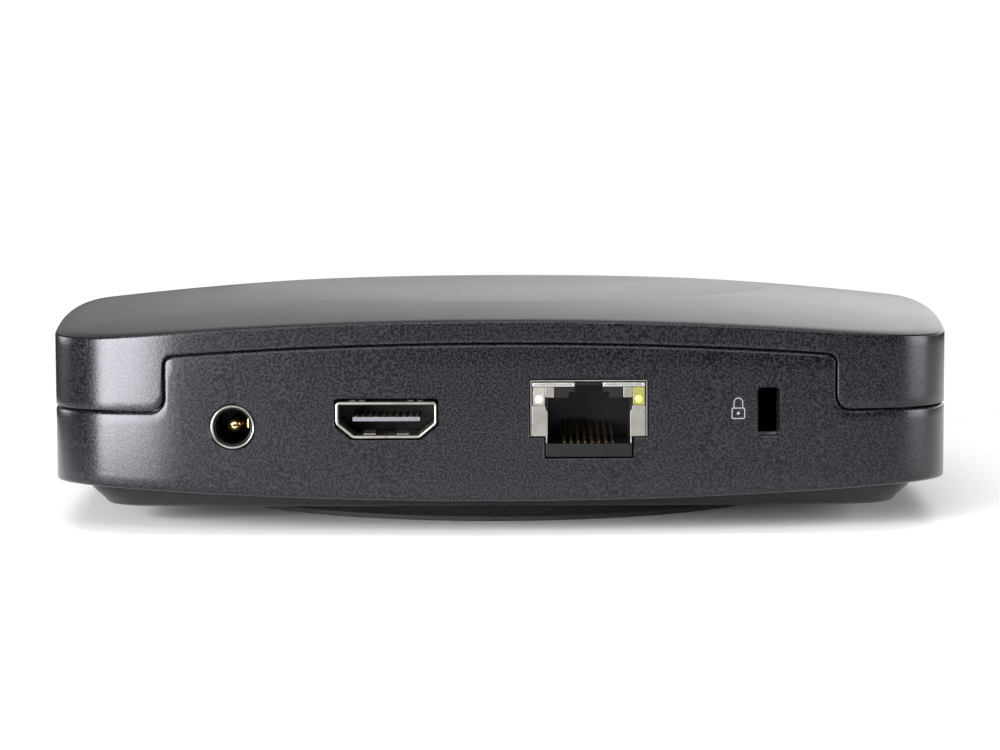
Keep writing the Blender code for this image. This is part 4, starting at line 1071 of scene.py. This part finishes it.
def build_lamp(name, side, window, front):
    """A moulded light guide behind its window, with the round lens of the lamp inside it."""
    inner, outer, foot, head = window
    left, right = mirrored(ETHERNET_X, side, inner, outer)
    slot = "clear" if side < 0 else "green"
    margin = 0.03 * MM
    pane = rectangle((left + margin, right - margin), (foot + margin, head - margin))
    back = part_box(f"ethernet_led_{name}")[1].y
    guide = prism(f"ethernet_led_{name}_skin", rounded(pane, 0.15 * MM, 3), front + 0.12 * MM, back)
    place(soften(guide, 0.06 * MM), slot, f"ethernet_led_{name}")
    centre = ((left + right) / 2, 0, foot + 0.92 * MM)
    profile = shifted([(0.12, 0.0), (0.38, 0.05), (0.56, 0.14), (0.6, 0.3)], 0.0, front - 0.02 * MM)
    place(turned(f"ethernet_lens_{name}", profile, centre, "y", 32), slot, look=LENSES[slot])


def build_ethernet_housing():
    """The black body of the network socket, with its plug space, latch channel and comb."""
    low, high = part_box("ethernet_housing")
    front = PANEL_FRONT + 0.4 * MM
    half = (high.x - low.x) / 2
    chin = ETHERNET_CHIN_HALF_WIDTH
    step = low.z + 2.9 * MM
    corners = [(-chin, low.z), (chin, low.z), (chin, step), (half, step)]
    corners += [(half, high.z), (-half, high.z), (-half, step), (-chin, step)]
    outline = [(ETHERNET_X + x, z) for x, z in corners]
    housing = prism("ethernet_housing_skin", outline, front, high.y)
    floor = 13.66 * MM
    mouth = shifted([(-6.0, 13.66), (6.0, 13.66), (6.0, 20.42), (2.95, 20.42), (2.95, 21.25), (2.07, 21.25)])
    mouth.append((2.07 * MM, high.z - 0.3 * MM))
    mouth += [(-x, z) for x, z in reversed(mouth[2:])]
    space = prism("plug_space", [(ETHERNET_X + x, z) for x, z in mouth], front - MM, front + 12.6 * MM)
    tools = [space]
    for name, side in SIDES:
        span = mirrored(ETHERNET_X, side, 6.3 * MM, 9 * MM)
        depth = (front - MM, front + 6 * MM)
        tools.append(block(f"lamp_channel_{name}", span, depth, (19.1 * MM, 22.2 * MM)))
    for number in range(8):
        x = ETHERNET_X + (number - 3.5) * 1.02 * MM
        depth = (front + 0.7 * MM, front + 9.5 * MM)
        height = (floor - 0.5 * MM, floor + 0.2 * MM)
        tools.append(block(f"comb_{number}", about(x, 0.3 * MM), depth, height))
    cut(housing, *tools)
    place(housing, "socket", "ethernet_housing")
    lip = rounded(rectangle(about(ETHERNET_X, chin), (low.z, floor - 0.02 * MM)), 0.25 * MM, 4)
    bar = prism("ethernet_chin_bar", lip, PANEL_FRONT + 0.02 * MM, front + 0.1 * MM)
    place(soften(bar, 0.12 * MM, 3), "socket")


def build_ethernet_contacts():
    """Eight sprung wires: each leaves the comb near the mouth and rises towards the back."""
    for number in range(1, 9):
        low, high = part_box(f"ethernet_contact_{number}")
        x = (low.x + high.x) / 2
        radius = 0.2 * MM
        start = low.z + radius
        points = [
            (x, low.y + 0.1 * MM, start - 0.35 * MM),
            (x, low.y + 0.9 * MM, start - 0.2 * MM),
            (x, low.y + 2.4 * MM, start + 0.08 * MM),
            (x, low.y + 5.0 * MM, start + 0.75 * MM),
            (x, low.y + 8.5 * MM, high.z - radius - 0.25 * MM),
            (x, high.y - 1.2 * MM, high.z - radius),
            (x, high.y, high.z - radius),
        ]
        wire = wire_along(f"ethernet_contact_{number}_skin", points, radius)
        place(wire, "gold", f"ethernet_contact_{number}")


def wire_along(name, points, radius):
    curve = bpy.data.curves.new(name, "CURVE")
    curve.dimensions = "3D"
    curve.bevel_depth = radius
    curve.bevel_resolution = 3
    curve.use_fill_caps = True
    spline = curve.splines.new("NURBS")
    spline.points.add(len(points) - 1)
    for target, point in zip(spline.points, points):
        target.co = (*point, 1.0)
    spline.order_u = 3
    spline.use_endpoint_u = True
    spline.resolution_u = 6
    wire = bpy.data.objects.new(name, curve)
    bpy.context.scene.collection.objects.link(wire)
    return wire


def build_lock_symbol():
    """A small raised padlock beside the lock slot: a body, a shackle and a keyhole dot."""
    x, z = 34.9 * MM, 18.45 * MM
    line = 0.16 * MM
    low, high = z - 1.25 * MM, z + 0.45 * MM
    outer = rounded(rectangle(about(x, MM), (low, high)), 0.3 * MM)
    inner = rounded(rectangle(about(x, MM - line), (low + line, high - line)), 0.18 * MM)
    face = float(rear_face([x])[0])
    front, back = -(face + 0.06 * MM), -(face - 0.2 * MM)
    steps = ((outer, back), (outer, front), (inner, front), (inner, back))
    rings = [[(u, y, v) for u, v in path] for path, y in steps]
    place(loft_loop("padlock_body", rings), "housing", look=SYMBOL)
    shackle = arch_path(x, high, 0.72 * MM, 0.75 * MM)
    shackle += reversed(arch_path(x, high, 0.72 * MM - line, 0.75 * MM))
    place(prism("padlock_shackle", shackle, front, back), "housing", look=SYMBOL)
    dot = circle_path(x, z - 0.4 * MM, 0.24 * MM, 20)
    place(prism("padlock_keyhole", dot, front, back), "housing", look=SYMBOL)


def arch_path(x, base, radius, leg):
    angles = np.linspace(0, math.pi, 17)
    bow = [(x + radius * math.cos(a), base + leg + radius * math.sin(a)) for a in angles]
    return [(x + radius, base)] + bow + [(x - radius, base)]


# ---------------------------------------------------------------- front controls


def build_power_button():
    low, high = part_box("power_button")
    x = (low.x + high.x) / 2
    z = centre_of("status_light_pipe")[2]
    face = high.y
    radius = BUTTON_RADIUS
    profile = shifted([(0.4, -0.28), (1.8, -0.22), (3.0, -0.06)], 0.0, face)
    profile += shifted([(-0.4, 0.0), (-0.12, -0.08), (0.0, -0.38), (0.0, -4.4)], radius, face)
    button = turned("power_button_skin", profile, (x, 0, z), "y", 96)
    wings = block("wings", (low.x, high.x), (face - 4.6 * MM, face - 3.5 * MM), about(z, 1.9 * MM))
    stem = turned("stem", [(1.4 * MM, low.y), (1.4 * MM, face - 4 * MM)], (x, 0, z - 0.6 * MM), "y", 32)
    join(button, wings, stem)
    place(button, "button", "power_button", body="power_button")


def build_status_light():
    low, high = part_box("status_light_pipe")
    profile = shifted([(0.3, 0.0), (0.9, -0.08), (1.15, -0.3), (1.2, -0.6)], 0.0, high.y)
    profile.append((1.2 * MM, low.y))
    pipe = turned("status_light_pipe_skin", profile, (0, 0, (low.z + high.z) / 2), "y", 48)
    place(pipe, "clear", "status_light_pipe")


def build_usb():
    low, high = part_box("usb_shell")
    face, back = high.y, low.y
    wall = 0.32 * MM
    inner_x = (low.x + wall, high.x - wall)
    inner_z = (low.z + wall, high.z - wall)
    outer = rounded(rectangle((low.x, high.x), (low.z, high.z)), 0.55 * MM)
    inner = rounded(rectangle(inner_x, inner_z), 0.25 * MM)
    place(tube("usb_shell_skin", outer, inner, face, back, -0.1 * MM), "nickel", "usb_shell")
    x, y, z = centre_of("usb_shell")
    block_face = back + 3 * MM
    tongue = block("usb_tongue_skin", inner_x, (back + 0.1 * MM, block_face), inner_z)
    blade_y = (block_face - MM, face - 1.2 * MM)
    join(tongue, block("blade", about(x, 5.6 * MM), blade_y, (z + 0.2 * MM, z + 2.0 * MM)))
    place(soften(tongue, 0.12 * MM), "white", "usb_tongue")
    for number, offset in enumerate((-3.5, -1.0, 1.0, 3.5), start=1):
        reach = 1.6 * MM if abs(offset) > 2 else 2.6 * MM
        pad_y = (block_face - 0.1 * MM, face - reach)
        pad_x = about(x + offset * MM, 0.5 * MM)
        place(block(f"usb_contact_{number}", pad_x, pad_y, (z + 0.12 * MM, z + 0.24 * MM)), "gold")


def build_case_screws():
    """Pan heads with a cross recess, seen in the base plate's counterbores."""
    for number in range(1, 5):
        low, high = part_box(f"case_screw_{number}")
        x, y, z = centre_of(f"case_screw_{number}")
        head = (high.x - low.x) / 2
        profile = [(0.3 * MM, low.z)]
        profile += shifted([(-0.9, 0.08), (-0.25, 0.35), (0.0, 0.75), (0.0, 1.6)], head, low.z)
        profile += [(1.25 * MM, low.z + 1.6 * MM), (1.25 * MM, high.z - 0.5 * MM), (0.9 * MM, high.z)]
        screw = turned(f"case_screw_{number}_skin", profile, (x, y, 0), "z", 40)
        depth = (low.z - MM, low.z + 0.9 * MM)
        arm_x = block("arm_x", about(x, 1.3 * MM), about(y, 0.28 * MM), depth)
        arm_y = block("arm_y", about(x, 0.28 * MM), about(y, 1.3 * MM), depth)
        cut(screw, arm_x, arm_y)
        place(screw, "screw", f"case_screw_{number}")


# ---------------------------------------------------------------- camera, floor and light


def build_camera():
    data = bpy.data.cameras.new("camera")
    data.lens = LENS
    data.sensor_width = 36.0
    data.clip_start = 0.01
    data.clip_end = 20.0
    camera = bpy.data.objects.new("camera", data)
    bpy.context.scene.collection.objects.link(camera)
    camera.location = (0.11 * MM, -(HALF_DEPTH + CAMERA_DISTANCE), CAMERA_HEIGHT)
    camera.rotation_euler = (math.radians(90 - CAMERA_PITCH), math.radians(CAMERA_ROLL), 0.0)
    bpy.context.scene.camera = camera


def area_light(name, place_at, look_at, size, power):
    data = bpy.data.lights.new(name, "AREA")
    data.shape = "RECTANGLE"
    data.size, data.size_y = size
    data.energy = power
    light = bpy.data.objects.new(name, data)
    bpy.context.scene.collection.objects.link(light)
    light.location = place_at
    aim = Vector(look_at) - Vector(place_at)
    light.rotation_euler = aim.to_track_quat("-Z", "Y").to_euler()
    light.visible_camera = False


def build_floor():
    """A round white table top. Its left rim is near, so the softbox there shines past the rim."""
    angles = np.linspace(0, 2 * math.pi, 96, endpoint=False)
    rim = [(FLOOR_X + FLOOR_RADIUS * math.cos(a), FLOOR_RADIUS * math.sin(a), 0.0) for a in angles]
    mesh = mesh_from("floor", rim, [tuple(range(len(rim)))])
    made = Nodes(bpy.data.materials.new("floor_paper"))
    made.set("Base Color", made.mix(made.noise(0.1), (0.93, 0.93, 0.93), (0.95, 0.95, 0.95)))
    made.set("Roughness", 0.9)
    floor = link("floor", mesh, made.owner)


def build_world():
    """White backdrop. As a light it is dim, and glows low down behind the player's right side."""
    made = Nodes(bpy.data.worlds.new("studio"), "Background")
    made.set("Color", (1, 1, 1, 1))
    parts = made.add("ShaderNodeSeparateXYZ", Vector=made.coordinates["Generated"]).outputs
    by_height = made.add("ShaderNodeValToRGB", Fac=parts["Z"])
    stops = by_height.color_ramp.elements
    while len(stops) < len(GLOW_BY_HEIGHT):
        stops.new(0.5)
    for stop, (height, share) in zip(stops, GLOW_BY_HEIGHT):
        stop.position = height
        stop.color = (share, share, share, 1)
    behind = made.ramp(parts["Y"], 0.0, 1.0, 0.2, 0.6)
    sideways = made.ramp(parts["X"], GLOW_ON_LEFT, 1.0, -0.3, 0.4)
    glow = made.product(made.product(by_height.outputs["Color"], behind), sideways)
    lifted = made.ramp(glow, AMBIENT, AMBIENT + GLOW, 0.0, 1.0)
    seen = made.add("ShaderNodeLightPath").outputs["Is Camera Ray"]
    choose = made.add("ShaderNodeMix", Factor=seen, A=lifted, B=BACKDROP)
    made.set("Strength", choose.outputs["Result"])
    bpy.context.scene.world = made.owner


def build_lights():
    area_light("front_bank", (0.0, -1.6, 1.15), (0, 0, 0), (2.0, 0.6), 20.0)
    area_light("overhead_bank", (0.0, -0.1, 1.3), (0, 0, 0), (1.4, 1.2), 14.0)
    area_light("left_softbox", (-0.61, -0.705, 0.10), (-0.06, -0.06, 0.03), (0.62, 0.54), 32.0)
    area_light("left_rim", (-1.3, 0.7, 0.25), (0, 0, 0.03), (0.6, 0.5), 5.0)
    area_light("right_softbox", (0.95, -0.15, 0.17), (0.07, -0.06, 0.03), (0.45, 0.54), 6.5)
    settings = bpy.context.scene.view_settings
    settings.view_transform = "Standard"
    settings.look = "None"


# ---------------------------------------------------------------- the whole scene

build_camera()
finish_cad_nodes()
build_top_cover()
build_bottom_shell()
build_base_plate()
build_rubber_foot()
build_dc_jack()
build_hdmi()
build_ethernet_shield()
build_ethernet_housing()
build_ethernet_contacts()
build_lock_symbol()
build_power_button()
build_status_light()
build_usb()
build_case_screws()
build_floor()
build_world()
build_lights()
